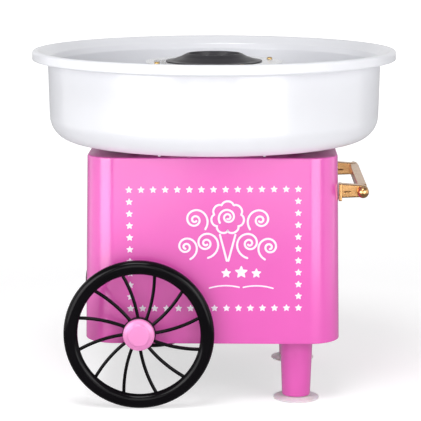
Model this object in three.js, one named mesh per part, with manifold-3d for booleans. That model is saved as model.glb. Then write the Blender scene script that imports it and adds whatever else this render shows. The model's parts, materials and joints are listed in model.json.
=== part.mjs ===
// Table-top cotton candy machine in the shape of a carnival cart.
// Millimetres, +Z up, +X towards the handle, -Y towards the user.
// The origin is on the table, under the axis of the bowl and the spinner.
import * as THREE from "three";
import { mergeVertices } from "three/addons/utils/BufferGeometryUtils.js";
import Module from "manifold-3d";

const wasm = await Module();
wasm.setup();

// ---- Driving dimensions ----
const GAP = 0.3; // left between pieces that rest on each other
const PAST = 1; // how far a cutting tool runs past a face
const FINE = 32; // facets round the large turned pieces
const MEDIUM = 20;
const COARSE = 12;
const SMALL = 8; // facets round screws and pins

// Bowl
const RIM_RADIUS = 137.5;
const RIM_TOP = 255.8;
const BOWL_BOTTOM = 188.4;
const BOWL_WALL = 2.4;
const BOWL_FLOOR_RADIUS = 106.5; // where the flat floor turns up into the wall
const BOWL_CORNER = 18;
const BOWL_HOLE = 57;
const BOWL_COLLAR_TOP = 200.2;
const BOWL_WALL_TOP = 246.5; // where the wall turns out into the rim
const RIM_LIP = 2.4; // thickness of the lip that hangs from the rim
const RIM_LIP_BOTTOM = 248.6;
const LUG_X = 38; // lugs that keep the bowl centred over the body's front and rear edges
const LUG_HALF_WIDTH = 0.9;
const LUG_NEAR = 77.9;
const LUG_FAR = 79.7;
const LUG_BOTTOM = 184.4;

// Body: a box that grows a little towards the bottom, with a round raised seat on its flat top
const BODY_BOTTOM = 45.9;
const BODY_EDGE = 183.3; // top of the sides, where the flat ledge under the bowl begins
const BODY_TOP = 187.9; // top of the seat
const SEAT_RADIUS = 66;
const BODY_HALF_X = 94.2; // at the bottom
const BODY_HALF_Y = 80.9;
const BODY_CORNER = 23;
const BODY_DRAFT = 2.3; // how much each side leans in from bottom to ledge
const SHELL_WALL = 2.4;
const TOP_HOLE = 44;
const FRONT_CUT = [-90, -70]; // a stretch of Y that takes in the front wall
const REAR_CUT = [70, 90];
const AIR_SLOTS = 6; // in the rear wall
const AIR_SLOT_PITCH = 9;
const AIR_SLOT_HEIGHT = 3.2;
const AIR_SLOT_BOTTOM = 86;
const AIR_SLOT_LEFT = -38;
const AIR_SLOT_RIGHT = 10;

// Screws and the posts that they go into
const POST_RADIUS = 4.5;
const SCREW_LENGTH = 14;
const BORE_SPARE = 4; // how much deeper a bore is than its screw
const TAPPED_BORE = 1.5;
const CLEARANCE_BORE = 1.8;

// Base plate, legs and suction cups
const PLATE_BOTTOM = BODY_BOTTOM + GAP;
const PLATE_TOP = PLATE_BOTTOM + 3;
const PLATE_SLOTS = 7;
const PLATE_SLOT_PITCH = 10;
const PLATE_SLOT_HALF_WIDTH = 2;
const PLATE_SLOT_HALF_LENGTH = 32;
const LEG_X = 62.6;
const LEG_Y = 59.9;
const LEG_TOP_RADIUS = 12.1;
const LEG_FOOT_RADIUS = 10.5;
const LEG_FOOT = 3;
const LEG_TOP = BODY_BOTTOM - 0.2;
const SPIGOT_RADIUS = 7.9;
const SPIGOT_TOP = PLATE_TOP + 3;
const CUP_RADIUS = 17.1;
const CUP_STEM_RADIUS = 6.3; // the stem plugs into the leg
const CUP_STEM_TOP = 10.5;

// Wheels
const WHEEL_RADIUS = 55.1;
const WHEEL_X = -52.9;
const WHEEL_Y = 90.8;
const TYRE_DEPTH = 10.3;
const TYRE_HALF_WIDTH = 4.5;
const TYRE_CORNER = 3.6;
const SPOKES = 12;
const FIRST_SPOKE = 15.6; // degrees
const SPOKE_BOW = 4.6; // how far the control point of a spoke's curve lies off its straight line
const SPOKE_WIDTH = 2.1;
const SPOKE_BACK = -4; // along the wheel's axis, from its middle, outwards positive
const SPOKE_FRONT = -1;
const HUB_RADIUS = 12.2;
const HUB_BACK = -5;
const HUB_FRONT = -0.5;
const HUB_CAP_RADIUS = 11.6;
const AXLE_RADIUS = 3;
const AXLE_HALF_LENGTH = 90;
const AXLE_BUSH_RADIUS = 5;
const AXLE_BUSH_COLLAR = 7.5;

// Handle
const HANDLE_Z = 156.2;
const BRACKET_Y = 56;
const BRACKET_HALF_WIDTH = 4;
const FLANGE_HALF_WIDTH = 5;
const FLANGE_INNER = 92.8;
const FLANGE_OUTER = 95.3;
const FLANGE_BOTTOM = 149;
const FLANGE_TOP = 161.7;
const ARM_ROOT_BOTTOM = 151.2;
const ARM_END_RADIUS = 4.4;
const BAR_X = 110.4;
const BAR_HALF_WIDTH = 3.5;
const BAR_BOTTOM = 152.8;
const BAR_TOP = 160.4;
const KNOB_RADIUS = 4.3;
const KNOB_SEAT = 3.4; // from the ball's centre to the flat that meets the bracket

// Heater turret
const TURRET_RADIUS = 47;
const TURRET_WALL = 1.2;
const TURRET_TOP = 231;
const TURRET_FLANGE_RADIUS = 54.5;
const SHELF_Z = 215;
const GUARD_RADIUS = 12.5; // tube that keeps sugar off the shaft
const GUARD_TOP = 227;
const HOUSING_SCREW_ANGLES = [90, 210, 330];
const HOUSING_SCREW_RADIUS = 50.8;
const FORMER_INNER = 18;
const FORMER_OUTER = 42;
const FORMER_HEIGHT = 6;
const GROOVE_INNER = 23; // the coil lies in this groove
const GROOVE_OUTER = 38;
const GROOVE_DEPTH = 3.4;
const COIL_RADIUS = 3.6;
const COIL_LIFT = 1.2; // the coil's middle above the top of the former
const SHIELD_BOTTOM = 203;
const SHIELD_TOP = 204;
const SHIELD_INNER = 13;
const SHIELD_OUTER = 44.6;
const LEAD_HOLE = [26.6, 17];
const LEAD_HOLE_RADIUS = 3.5;

// Motor
const SHAFT_RADIUS = 2.5;
const SHAFT_BOTTOM = 84;
const SHAFT_TOP = 234.4;
const BUSH_RADIUS = 5;
const MOTOR_RADIUS = 19;
const MOTOR_WALL = 1.2;
const MOTOR_BOTTOM = 92.3;
const MOTOR_TOP = 140;
const END_CAP_BOTTOM = 88;
const BEARING_LENGTH = 9;
const MAGNET_INNER = 15.4;
const MAGNET_HALF_ANGLE = 62;
const MAGNET_BOTTOM = 104;
const MAGNET_LENGTH = 24;
const ARMATURE_RADIUS = 14.4;
const ARMATURE_BOTTOM = 102;
const ARMATURE_TOP = 130;
const STRAP_BOTTOM = MOTOR_TOP + GAP; // the strap that hangs the motor from the posts
const STRAP_THICKNESS = 2;
const STRAP_HALF_WIDTH = 15;
const POST_X = 45;
const MOTOR_POST_RADIUS = 5;
const FAN_BOTTOM = 150;
const FAN_TOP = 161;
const FAN_RADIUS = 33;
const FAN_HUB_RADIUS = 7;
const FAN_BLADES = 8;

// Spinning head
const DISC_RADIUS = 52.4;
const DISC_TOP = 246.4;
const DISC_THICKNESS = 1.2;
const DISC_HOLE = 18.3;
const DISH_FLOOR = 234.6;
const DISH_FLOOR_RADIUS = 38.4;
const DISH_RADIUS = 51.8;
const DISH_RIM_BOTTOM = 243.6;
const DISH_WALL = 1.2;
const MESH_INNER = 41.6;
const MESH_OUTER = 42.2;
const MESH_BOTTOM = 239.6;
const HUB_BORE = SHAFT_RADIUS + 0.4;
const HUB_BORE_TOP = 235;
const DRIVE_HUB_RADIUS = 9.9;
const DRIVE_HUB_BOTTOM = 222;
const DRIVE_HUB_TOP = 238;
const DISH_SEAT_RADIUS = 15; // collar of the drive hub that carries the dish
const DISH_SEAT_BOTTOM = 231.8;
const PIN_Z = 226;
const PIN_RADIUS = 1;
const PIN_HALF_LENGTH = 6.2;
const FUNNEL_TOP = 252.5;
const FUNNEL_RADIUS = 36.6;
const FUNNEL_MOUTH = 19.4;
const FUNNEL_STEM = 17.7;
const FUNNEL_FLOOR = 240.2;
const FUNNEL_BOSS = 10;
const FUNNEL_BOSS_TOP = 247.4;
const FUNNEL_SCREW_X = 6.4;
const FUNNEL_SCREW_BORE = 1.6;
const SUGAR_PORTS = 3; // each one runs right across the funnel
const DISC_SCREWS = 4;
const DISC_SCREW_RADIUS = 47.5;
const DISC_SCREW_ANGLE = 27;

// Switch and cord inlet, on the back
const SWITCH_X = 45;
const SWITCH_Z = 118;
const BEZEL_HALF_X = 7.6;
const BEZEL_HALF_Z = 10.6;
const BEZEL_DEPTH = 2;
const SWITCH_HALF_X = 6.4;
const SWITCH_HALF_Z = 9.4;
const SWITCH_DEPTH = 15;
const POCKET_HALF_X = 4.6;
const POCKET_HALF_Z = 7.8;
const POCKET_DEPTH = 8;
const PANEL_FIT = 0.4; // play of the switch and the gland in their holes
const ROCKER_HALF_WIDTH = 4.2;
const ROCKER_HALF_LENGTH = 7;
const ROCKER_BARREL = 5.6;
const ROCKER_TILT = 7;
const GLAND_X = 62;
const GLAND_Z = 66;
const GLAND_NECK = 4.4;
const GLAND_BORE = 2.4;

// ---- Materials ----
function finish(color, roughness, metalness) {
  return new THREE.MeshStandardMaterial({ color, roughness, metalness });
}
const pinkPlastic = finish(0xf277cc, 0.2, 0);
const palePinkPlastic = finish(0xfaa0e4, 0.25, 0);
const whitePlastic = finish(0xf4f4f7, 0.25, 0);
const blackPlastic = finish(0x17151a, 0.2, 0);
const greyPlastic = finish(0x4b4a50, 0.5, 0);
const silicone = finish(0xe9dde4, 0.35, 0);
const goldPlate = finish(0xd9a15a, 0.2, 1);
const brass = finish(0xc9a04e, 0.3, 1);
const aluminium = finish(0xc4c5cb, 0.3, 1);
const steel = finish(0x9a9ca1, 0.35, 1);
const bronze = finish(0xa9713a, 0.45, 1);
const ceramic = finish(0xe8e2d4, 0.7, 0);
const ferrite = finish(0x3a3a3d, 0.8, 0);
const copper = finish(0xb8673d, 0.35, 1);
const rubber = finish(0x1d1d1f, 0.8, 0);
const wireRed = finish(0xb02a2a, 0.5, 0);

// ---- Geometry helpers ----
function toSolid(geometry) {
  const bare = geometry.index ? geometry.toNonIndexed() : geometry.clone();
  bare.deleteAttribute("normal");
  bare.deleteAttribute("uv");
  const merged = mergeVertices(bare, 1e-4);
  const mesh = new wasm.Mesh({
    numProp: 3,
    vertProperties: merged.attributes.position.array,
    triVerts: new Uint32Array(merged.index.array),
  });
  return new wasm.Manifold(mesh);
}

function toGeometry(solid) {
  const mesh = solid.getMesh();
  const geometry = new THREE.BufferGeometry();
  geometry.setAttribute("position", new THREE.BufferAttribute(mesh.vertProperties, 3));
  geometry.setIndex(new THREE.BufferAttribute(mesh.triVerts, 1));
  const flat = geometry.toNonIndexed();
  flat.computeVertexNormals();
  return flat;
}

function join(first, ...others) {
  return toGeometry(others.reduce((sum, other) => sum.add(toSolid(other)), toSolid(first)));
}

function cut(first, ...tools) {
  return toGeometry(tools.reduce((rest, tool) => rest.subtract(toSolid(tool)), toSolid(first)));
}

function radians(degrees) {
  return THREE.MathUtils.degToRad(degrees);
}

// Points [r, z] on a circular arc.
function arc(centreR, centreZ, radius, fromDegrees, toDegrees, steps) {
  return Array.from({ length: steps + 1 }, (_, k) => {
    const angle = radians(fromDegrees + ((toDegrees - fromDegrees) * k) / steps);
    return [centreR + radius * Math.cos(angle), centreZ + radius * Math.sin(angle)];
  });
}

// An outline of [r, z] points, counter-clockwise, turned about Z. An outline off the axis is closed.
function turned(outline, facets) {
  const points = outline.map(([r, z]) => new THREE.Vector2(r, z));
  if (outline[0][0] > 0) points.push(points[0].clone());
  return new THREE.LatheGeometry(points, facets).rotateX(Math.PI / 2);
}

// A flat ring between two radii and two heights.
function ring(inner, outer, bottom, top, facets) {
  return turned([[inner, bottom], [outer, bottom], [outer, top], [inner, top]], facets);
}

function rodZ(x, y, bottom, top, radius, facets = COARSE) {
  const rod = new THREE.CylinderGeometry(radius, radius, top - bottom, facets);
  return rod.rotateX(Math.PI / 2).translate(x, y, (top + bottom) / 2);
}

function rodY(x, z, near, far, radius, facets = COARSE) {
  const rod = new THREE.CylinderGeometry(radius, radius, far - near, facets);
  return rod.translate(x, (near + far) / 2, z);
}

function rodX(y, z, left, right, radius, facets = COARSE) {
  const rod = new THREE.CylinderGeometry(radius, radius, right - left, facets);
  return rod.rotateZ(Math.PI / 2).translate((left + right) / 2, y, z);
}

function block(left, right, near, far, bottom, top) {
  const box = new THREE.BoxGeometry(right - left, far - near, top - bottom);
  return box.translate((left + right) / 2, (near + far) / 2, (bottom + top) / 2);
}

// The corner points of a rounded rectangle at one height, counter-clockwise from above.
function roundedLevel(halfX, halfY, radius, z) {
  const steps = 4;
  const corners = [[1, 1], [-1, 1], [-1, -1], [1, -1]];
  return corners.flatMap(([sideX, sideY], quarter) =>
    arc(sideX * (halfX - radius), sideY * (halfY - radius), radius, 90 * quarter, 90 * (quarter + 1), steps)
      .map(([x, y]) => [x, y, z]),
  );
}

// A closed body through levels that all have the same number of points.
function loft(levels) {
  const count = levels[0].length;
  const faces = [];
  for (let level = 0; level < levels.length - 1; level++) {
    for (let k = 0; k < count; k++) {
      const next = (k + 1) % count;
      const low = level * count;
      const high = low + count;
      faces.push(low + k, low + next, high + next, low + k, high + next, high + k);
    }
  }
  const last = (levels.length - 1) * count;
  for (let k = 1; k < count - 1; k++) {
    faces.push(0, k + 1, k, last, last + k, last + k + 1);
  }
  const geometry = new THREE.BufferGeometry();
  geometry.setAttribute("position", new THREE.Float32BufferAttribute(levels.flat(2), 3));
  geometry.setIndex(faces);
  return geometry;
}

// A tube along a smooth curve through the given points.
function tube(points, radius, steps, sides) {
  const outline = new THREE.Shape();
  for (let k = 0; k < sides; k++) {
    const angle = (2 * Math.PI * k) / sides;
    const x = radius * Math.cos(angle);
    const y = radius * Math.sin(angle);
    if (k === 0) outline.moveTo(x, y);
    else outline.lineTo(x, y);
  }
  const path = new THREE.CatmullRomCurve3(points.map((p) => new THREE.Vector3(...p)));
  return new THREE.ExtrudeGeometry(outline, { steps, bevelEnabled: false, extrudePath: path });
}

// A round-headed screw along Z with its head's seat at z = 0 and its shank below it.
function screw(headRadius, headHeight, shankRadius, shankLength) {
  return turned(
    [
      [0, -shankLength],
      [shankRadius, -shankLength],
      [shankRadius, 0],
      [headRadius, 0],
      [headRadius, headHeight * 0.4],
      [headRadius * 0.6, headHeight],
      [0, headHeight],
    ],
    SMALL,
  );
}

// ---- Scene ----
const machine = new THREE.Group();

function addPart(name, geometry, material, parent = machine) {
  const mesh = new THREE.Mesh(geometry, material);
  mesh.name = name;
  parent.add(mesh);
  return mesh;
}

// ---- Body shell ----
function bodyLean(z) {
  return BODY_DRAFT * (z - BODY_BOTTOM) / (BODY_EDGE - BODY_BOTTOM);
}

function bodyLevel(z, inset) {
  const lean = bodyLean(z) + inset;
  return roundedLevel(BODY_HALF_X - lean, BODY_HALF_Y - lean, BODY_CORNER - inset, z);
}

function rearFace(z) {
  return BODY_HALF_Y - bodyLean(z);
}

const BASE_SCREW_PLACES = [[77, 64], [-77, 64], [-77, -64], [77, -64]];

function housingScrewPlace(degrees) {
  const angle = radians(degrees);
  return [HOUSING_SCREW_RADIUS * Math.cos(angle), HOUSING_SCREW_RADIUS * Math.sin(angle)];
}

function bodyShell() {
  const ledgeCeiling = BODY_EDGE - SHELL_WALL;
  const ceiling = BODY_TOP - SHELL_WALL;
  const box = loft([bodyLevel(BODY_BOTTOM, 0), bodyLevel(BODY_EDGE, 0)]);
  const seat = rodZ(0, 0, ledgeCeiling, BODY_TOP, SEAT_RADIUS, MEDIUM);
  const inside = loft([
    bodyLevel(BODY_BOTTOM, SHELL_WALL).map(([x, y, z]) => [x, y, z - PAST]),
    bodyLevel(ledgeCeiling, SHELL_WALL),
  ]);
  const insideSeat = rodZ(0, 0, ledgeCeiling - PAST, ceiling, SEAT_RADIUS - SHELL_WALL, MEDIUM);
  const topHole = rodZ(0, 0, ceiling - PAST, BODY_TOP + PAST, TOP_HOLE, MEDIUM);
  const intoLedge = ledgeCeiling + SHELL_WALL / 2;
  const intoSeat = ceiling + SHELL_WALL / 2;
  const strapTop = STRAP_BOTTOM + STRAP_THICKNESS + GAP;
  const posts = [
    ...BASE_SCREW_PLACES.map(([x, y]) => rodZ(x, y, PLATE_TOP + GAP, intoLedge, POST_RADIUS)),
    ...[-POST_X, POST_X].map((x) => rodZ(x, 0, strapTop, intoSeat, MOTOR_POST_RADIUS)),
  ];
  const boreDepth = SCREW_LENGTH + BORE_SPARE;
  const bores = [
    ...BASE_SCREW_PLACES.map(([x, y]) =>
      rodZ(x, y, PLATE_TOP, PLATE_BOTTOM + boreDepth, TAPPED_BORE, SMALL)),
    ...[-POST_X, POST_X].map((x) => rodZ(x, 0, MOTOR_TOP, MOTOR_TOP + boreDepth, TAPPED_BORE, SMALL)),
    ...HOUSING_SCREW_ANGLES.map((angle) =>
      rodZ(...housingScrewPlace(angle), ceiling - PAST, BODY_TOP + PAST, TAPPED_BORE, SMALL)),
  ];
  const axleHoles = [FRONT_CUT, REAR_CUT].map((wall) =>
    rodY(WHEEL_X, WHEEL_RADIUS, ...wall, AXLE_BUSH_RADIUS + GAP));
  const airSlots = Array.from({ length: AIR_SLOTS }, (_, k) => {
    const z = AIR_SLOT_BOTTOM + AIR_SLOT_PITCH * k;
    return block(AIR_SLOT_LEFT, AIR_SLOT_RIGHT, ...REAR_CUT, z, z + AIR_SLOT_HEIGHT);
  });
  const switchX = SWITCH_HALF_X + PANEL_FIT;
  const switchZ = SWITCH_HALF_Z + PANEL_FIT;
  return cut(
    join(cut(join(box, seat), inside, insideSeat, topHole), ...posts),
    ...bores,
    ...axleHoles,
    ...airSlots,
    block(SWITCH_X - switchX, SWITCH_X + switchX, ...REAR_CUT, SWITCH_Z - switchZ, SWITCH_Z + switchZ),
    rodY(GLAND_X, GLAND_Z, ...REAR_CUT, GLAND_NECK + PANEL_FIT),
  );
}

addPart("body_shell", bodyShell(), pinkPlastic);

// ---- Base plate and its screws ----
function basePlate() {
  const inset = SHELL_WALL + GAP;
  const plate = loft([PLATE_BOTTOM, PLATE_TOP].map((z) => bodyLevel(z, inset)));
  const through = [PLATE_BOTTOM - PAST, PLATE_TOP + PAST];
  const spigotHoles = [-LEG_Y, LEG_Y].map((y) => rodZ(LEG_X, y, ...through, SPIGOT_RADIUS + GAP, MEDIUM));
  const screwHoles = BASE_SCREW_PLACES.map(([x, y]) => rodZ(x, y, ...through, CLEARANCE_BORE, SMALL));
  const airSlots = Array.from({ length: PLATE_SLOTS }, (_, k) => {
    const x = PLATE_SLOT_PITCH * (k - (PLATE_SLOTS - 1) / 2);
    const halfLength = PLATE_SLOT_HALF_LENGTH;
    return block(x - PLATE_SLOT_HALF_WIDTH, x + PLATE_SLOT_HALF_WIDTH, -halfLength, halfLength, ...through);
  });
  return cut(plate, ...spigotHoles, ...screwHoles, ...airSlots);
}

addPart("base_plate", basePlate(), greyPlastic);
BASE_SCREW_PLACES.forEach(([x, y], k) => {
  const part = addPart(`base_screw_${k + 1}`, screw(3, 1.9, 1.2, SCREW_LENGTH), steel);
  part.rotation.x = Math.PI;
  part.position.set(x, y, PLATE_BOTTOM - GAP);
});

// ---- Legs and suction cups ----
function leg() {
  const socketRadius = CUP_STEM_RADIUS + 0.4;
  const socketTop = CUP_STEM_TOP + 0.5;
  return turned(
    [
      [0, socketTop],
      [socketRadius, socketTop],
      [socketRadius, LEG_FOOT],
      [LEG_FOOT_RADIUS, LEG_FOOT],
      [LEG_TOP_RADIUS, LEG_TOP],
      [SPIGOT_RADIUS, LEG_TOP],
      [SPIGOT_RADIUS, SPIGOT_TOP],
      [0, SPIGOT_TOP],
    ],
    MEDIUM,
  );
}

function suctionCup() {
  const neckTop = LEG_FOOT - GAP;
  return turned(
    [
      [0, 1.6],
      [9, 1.1],
      [12.5, 0],
      [CUP_RADIUS, 0],
      [CUP_RADIUS, 1],
      [12, 1.9],
      [9, neckTop],
      [CUP_STEM_RADIUS, neckTop],
      [CUP_STEM_RADIUS, CUP_STEM_TOP],
      [0, CUP_STEM_TOP],
    ],
    MEDIUM,
  );
}

for (const [side, y] of [["front", -LEG_Y], ["rear", LEG_Y]]) {
  addPart(`${side}_leg`, leg(), pinkPlastic).position.set(LEG_X, y, 0);
  addPart(`${side}_suction_cup`, suctionCup(), silicone).position.set(LEG_X, y, 0);
}

// ---- Axle, its bushes and the two wheels ----
// A wheel lies about Z here, facing +Z, and is stood up when it is placed.
function spoke(angle) {
  const hubEnd = new THREE.Vector2(HUB_RADIUS - 1.5, -SPOKE_BOW / 2);
  const rimEnd = new THREE.Vector2(WHEEL_RADIUS - TYRE_DEPTH + 1.5, 0);
  const bow = new THREE.Vector2((hubEnd.x + rimEnd.x) / 2, -SPOKE_BOW);
  const line = new THREE.QuadraticBezierCurve(hubEnd, bow, rimEnd);
  const half = SPOKE_WIDTH / 2;
  const middle = line.getPoints(5);
  const outline = [
    ...middle.map((p) => new THREE.Vector2(p.x, p.y - half)),
    ...middle.reverse().map((p) => new THREE.Vector2(p.x, p.y + half)),
  ];
  const shape = new THREE.Shape(outline);
  const depth = SPOKE_FRONT - SPOKE_BACK;
  const bar = new THREE.ExtrudeGeometry(shape, { depth, bevelEnabled: false });
  return bar.translate(0, 0, SPOKE_BACK).rotateZ(radians(angle));
}

function wheel() {
  const inner = WHEEL_RADIUS - TYRE_DEPTH;
  const corners = [
    [inner + TYRE_CORNER, -1, 180],
    [WHEEL_RADIUS - TYRE_CORNER, -1, 270],
    [WHEEL_RADIUS - TYRE_CORNER, 1, 0],
    [inner + TYRE_CORNER, 1, 90],
  ];
  const section = corners.flatMap(([r, side, start]) =>
    arc(r, side * (TYRE_HALF_WIDTH - TYRE_CORNER), TYRE_CORNER, start, start + 90, 2));
  const hub = ring(AXLE_RADIUS + GAP, HUB_RADIUS, HUB_BACK, HUB_FRONT, MEDIUM);
  const spokes = Array.from({ length: SPOKES }, (_, k) => spoke(FIRST_SPOKE + (360 / SPOKES) * k));
  return join(turned(section, FINE), hub, ...spokes).rotateX(Math.PI / 2);
}

function hubCap() {
  const back = HUB_FRONT + GAP;
  const cap = turned(
    [
      [0, back],
      [HUB_CAP_RADIUS, back],
      [HUB_CAP_RADIUS, back + 2],
      [HUB_CAP_RADIUS - 1, back + 3.2],
      [7.8, back + 4.6],
      [7.2, back + 5.2],
      [0, back + 5.8],
    ],
    MEDIUM,
  );
  return cap.rotateX(Math.PI / 2);
}

addPart("wheel_axle", rodY(WHEEL_X, WHEEL_RADIUS, -AXLE_HALF_LENGTH, AXLE_HALF_LENGTH, AXLE_RADIUS), steel);
for (const [side, sign] of [["front", -1], ["rear", 1]]) {
  const bush = turned(
    [
      [AXLE_RADIUS + GAP, -6],
      [AXLE_BUSH_RADIUS, -6],
      [AXLE_BUSH_RADIUS, 2],
      [AXLE_BUSH_COLLAR, 2],
      [AXLE_BUSH_COLLAR, 3.5],
      [AXLE_RADIUS + GAP, 3.5],
    ],
    COARSE,
  );
  const outward = sign < 0 ? Math.PI / 2 : -Math.PI / 2;
  const face = rearFace(WHEEL_RADIUS) - 1.6;
  addPart(`${side}_axle_bush`, bush.rotateX(outward), bronze).position.set(WHEEL_X, sign * face, WHEEL_RADIUS);
  const place = new THREE.Group();
  place.position.set(WHEEL_X, sign * WHEEL_Y, WHEEL_RADIUS);
  place.rotation.z = sign < 0 ? 0 : Math.PI;
  machine.add(place);
  addPart(`${side}_wheel`, wheel(), blackPlastic, place);
  addPart(`${side}_hub_cap`, hubCap(), palePinkPlastic, place);
}

// ---- Push handle: two brackets, a bar and a ball knob at each end ----
function handleBracket() {
  const outline = new THREE.Shape();
  outline.moveTo(FLANGE_OUTER - 0.5, ARM_ROOT_BOTTOM);
  outline.lineTo(BAR_X, HANDLE_Z - ARM_END_RADIUS);
  outline.absarc(BAR_X, HANDLE_Z, ARM_END_RADIUS, -Math.PI / 2, Math.PI / 2, false);
  outline.lineTo(FLANGE_OUTER - 0.5, FLANGE_TOP);
  outline.closePath();
  const arm = new THREE.ExtrudeGeometry(outline, {
    depth: 2 * BRACKET_HALF_WIDTH,
    bevelEnabled: false,
    curveSegments: 8,
  });
  arm.rotateX(Math.PI / 2).translate(0, BRACKET_HALF_WIDTH, 0);
  const half = FLANGE_HALF_WIDTH;
  const flange = block(FLANGE_INNER, FLANGE_OUTER, -half, half, FLANGE_BOTTOM, FLANGE_TOP);
  return join(flange, arm);
}

for (const [side, sign] of [["front", -1], ["rear", 1]]) {
  addPart(`${side}_handle_bracket`, handleBracket(), goldPlate).position.y = sign * BRACKET_Y;
  const knob = new THREE.SphereGeometry(KNOB_RADIUS, COARSE, SMALL);
  const flat = block(-6, 6, KNOB_SEAT, 12, -6, 6);
  const part = addPart(`${side}_handle_knob`, cut(knob, flat), goldPlate);
  part.position.set(BAR_X, sign * (BRACKET_Y + BRACKET_HALF_WIDTH + KNOB_SEAT + GAP), HANDLE_Z);
  part.rotation.z = sign < 0 ? 0 : Math.PI;
}

function handleBar() {
  const halfLength = BRACKET_Y - BRACKET_HALF_WIDTH - GAP;
  const near = BAR_X - BAR_HALF_WIDTH;
  const far = BAR_X + BAR_HALF_WIDTH;
  return block(near, far, -halfLength, halfLength, BAR_BOTTOM, BAR_TOP);
}
addPart("handle_bar", handleBar(), goldPlate);

// ---- Heater turret: the spun housing, ceramic former, coil and shield ----
function heaterHousing() {
  const inside = TURRET_RADIUS - TURRET_WALL;
  const shelfTop = SHELF_Z + TURRET_WALL;
  const seat = BODY_TOP + GAP;
  const shape = turned(
    [
      [inside, seat],
      [TURRET_FLANGE_RADIUS, seat],
      [TURRET_FLANGE_RADIUS, seat + TURRET_WALL],
      [TURRET_RADIUS, seat + TURRET_WALL],
      [TURRET_RADIUS, TURRET_TOP],
      [inside, TURRET_TOP],
      [inside, shelfTop],
      [GUARD_RADIUS + TURRET_WALL, shelfTop],
      [GUARD_RADIUS + TURRET_WALL, GUARD_TOP],
      [GUARD_RADIUS, GUARD_TOP],
      [GUARD_RADIUS, SHELF_Z],
      [inside, SHELF_Z],
    ],
    FINE,
  );
  const holes = HOUSING_SCREW_ANGLES.map((angle) =>
    rodZ(...housingScrewPlace(angle), seat - PAST, seat + TURRET_WALL + PAST, CLEARANCE_BORE, SMALL));
  return cut(shape, ...holes);
}

addPart("heater_housing", heaterHousing(), aluminium);
HOUSING_SCREW_ANGLES.forEach((angle, k) => {
  const seat = BODY_TOP + TURRET_WALL + 2 * GAP;
  const part = addPart(`housing_screw_${k + 1}`, screw(2.6, 1.6, 1.1, 6), steel);
  part.position.set(...housingScrewPlace(angle), seat);
});

const FORMER_BOTTOM = SHELF_Z + TURRET_WALL + GAP;
const FORMER_TOP = FORMER_BOTTOM + FORMER_HEIGHT;

function ceramicFormer() {
  const grooveBottom = FORMER_TOP - GROOVE_DEPTH;
  return turned(
    [
      [FORMER_INNER, FORMER_BOTTOM],
      [FORMER_OUTER, FORMER_BOTTOM],
      [FORMER_OUTER, FORMER_TOP],
      [GROOVE_OUTER, FORMER_TOP],
      [GROOVE_OUTER, grooveBottom],
      [GROOVE_INNER, grooveBottom],
      [GROOVE_INNER, FORMER_TOP],
      [FORMER_INNER, FORMER_TOP],
    ],
    MEDIUM,
  );
}
addPart("ceramic_former", ceramicFormer(), ceramic);

// One open turn of coiled heating wire lying in the former's groove.
function heatingCoil() {
  const radius = (GROOVE_INNER + GROOVE_OUTER) / 2;
  const height = FORMER_TOP + COIL_LIFT;
  const line = arc(0, 0, radius, 100, 440, 16).map(([x, y]) => [x, y, height]);
  return tube(line, COIL_RADIUS, 28, SMALL);
}
addPart("heating_coil", heatingCoil(), copper);

function heatShield() {
  const leadHole = rodZ(...LEAD_HOLE, SHIELD_BOTTOM - PAST, SHIELD_TOP + PAST, LEAD_HOLE_RADIUS, SMALL);
  return cut(ring(SHIELD_INNER, SHIELD_OUTER, SHIELD_BOTTOM, SHIELD_TOP, MEDIUM), leadHole);
}
addPart("heat_shield", heatShield(), steel);
addPart("thermal_cutoff", rodX(16, 210, 20, 32, 2.8, SMALL), ceramic);

// ---- Motor ----
function motorCan() {
  const inside = MOTOR_RADIUS - MOTOR_WALL;
  return turned(
    [
      [BUSH_RADIUS + GAP, MOTOR_TOP - MOTOR_WALL],
      [inside, MOTOR_TOP - MOTOR_WALL],
      [inside, MOTOR_BOTTOM],
      [MOTOR_RADIUS, MOTOR_BOTTOM],
      [MOTOR_RADIUS, MOTOR_TOP],
      [BUSH_RADIUS + GAP, MOTOR_TOP],
    ],
    MEDIUM,
  );
}

function bearing(bottom) {
  return ring(SHAFT_RADIUS + GAP, BUSH_RADIUS, bottom, bottom + BEARING_LENGTH, COARSE);
}

addPart("motor_can", motorCan(), steel);
const endCap = ring(BUSH_RADIUS + GAP, MOTOR_RADIUS, END_CAP_BOTTOM, MOTOR_BOTTOM - GAP, MEDIUM);
addPart("motor_end_cap", endCap, blackPlastic);
addPart("upper_bearing", bearing(MOTOR_TOP - 5), bronze);
addPart("lower_bearing", bearing(END_CAP_BOTTOM - 2), bronze);

function magnet() {
  const outer = MOTOR_RADIUS - MOTOR_WALL - GAP;
  const half = radians(MAGNET_HALF_ANGLE);
  const outline = new THREE.Shape();
  outline.absarc(0, 0, outer, -half, half, false);
  outline.absarc(0, 0, MAGNET_INNER, half, -half, true);
  return new THREE.ExtrudeGeometry(outline, { depth: MAGNET_LENGTH, bevelEnabled: false, curveSegments: 8 });
}
for (const [side, angle] of [["left", 180], ["right", 0]]) {
  const part = addPart(`${side}_magnet`, magnet(), ferrite);
  part.position.z = MAGNET_BOTTOM;
  part.rotation.z = radians(angle);
}

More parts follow.
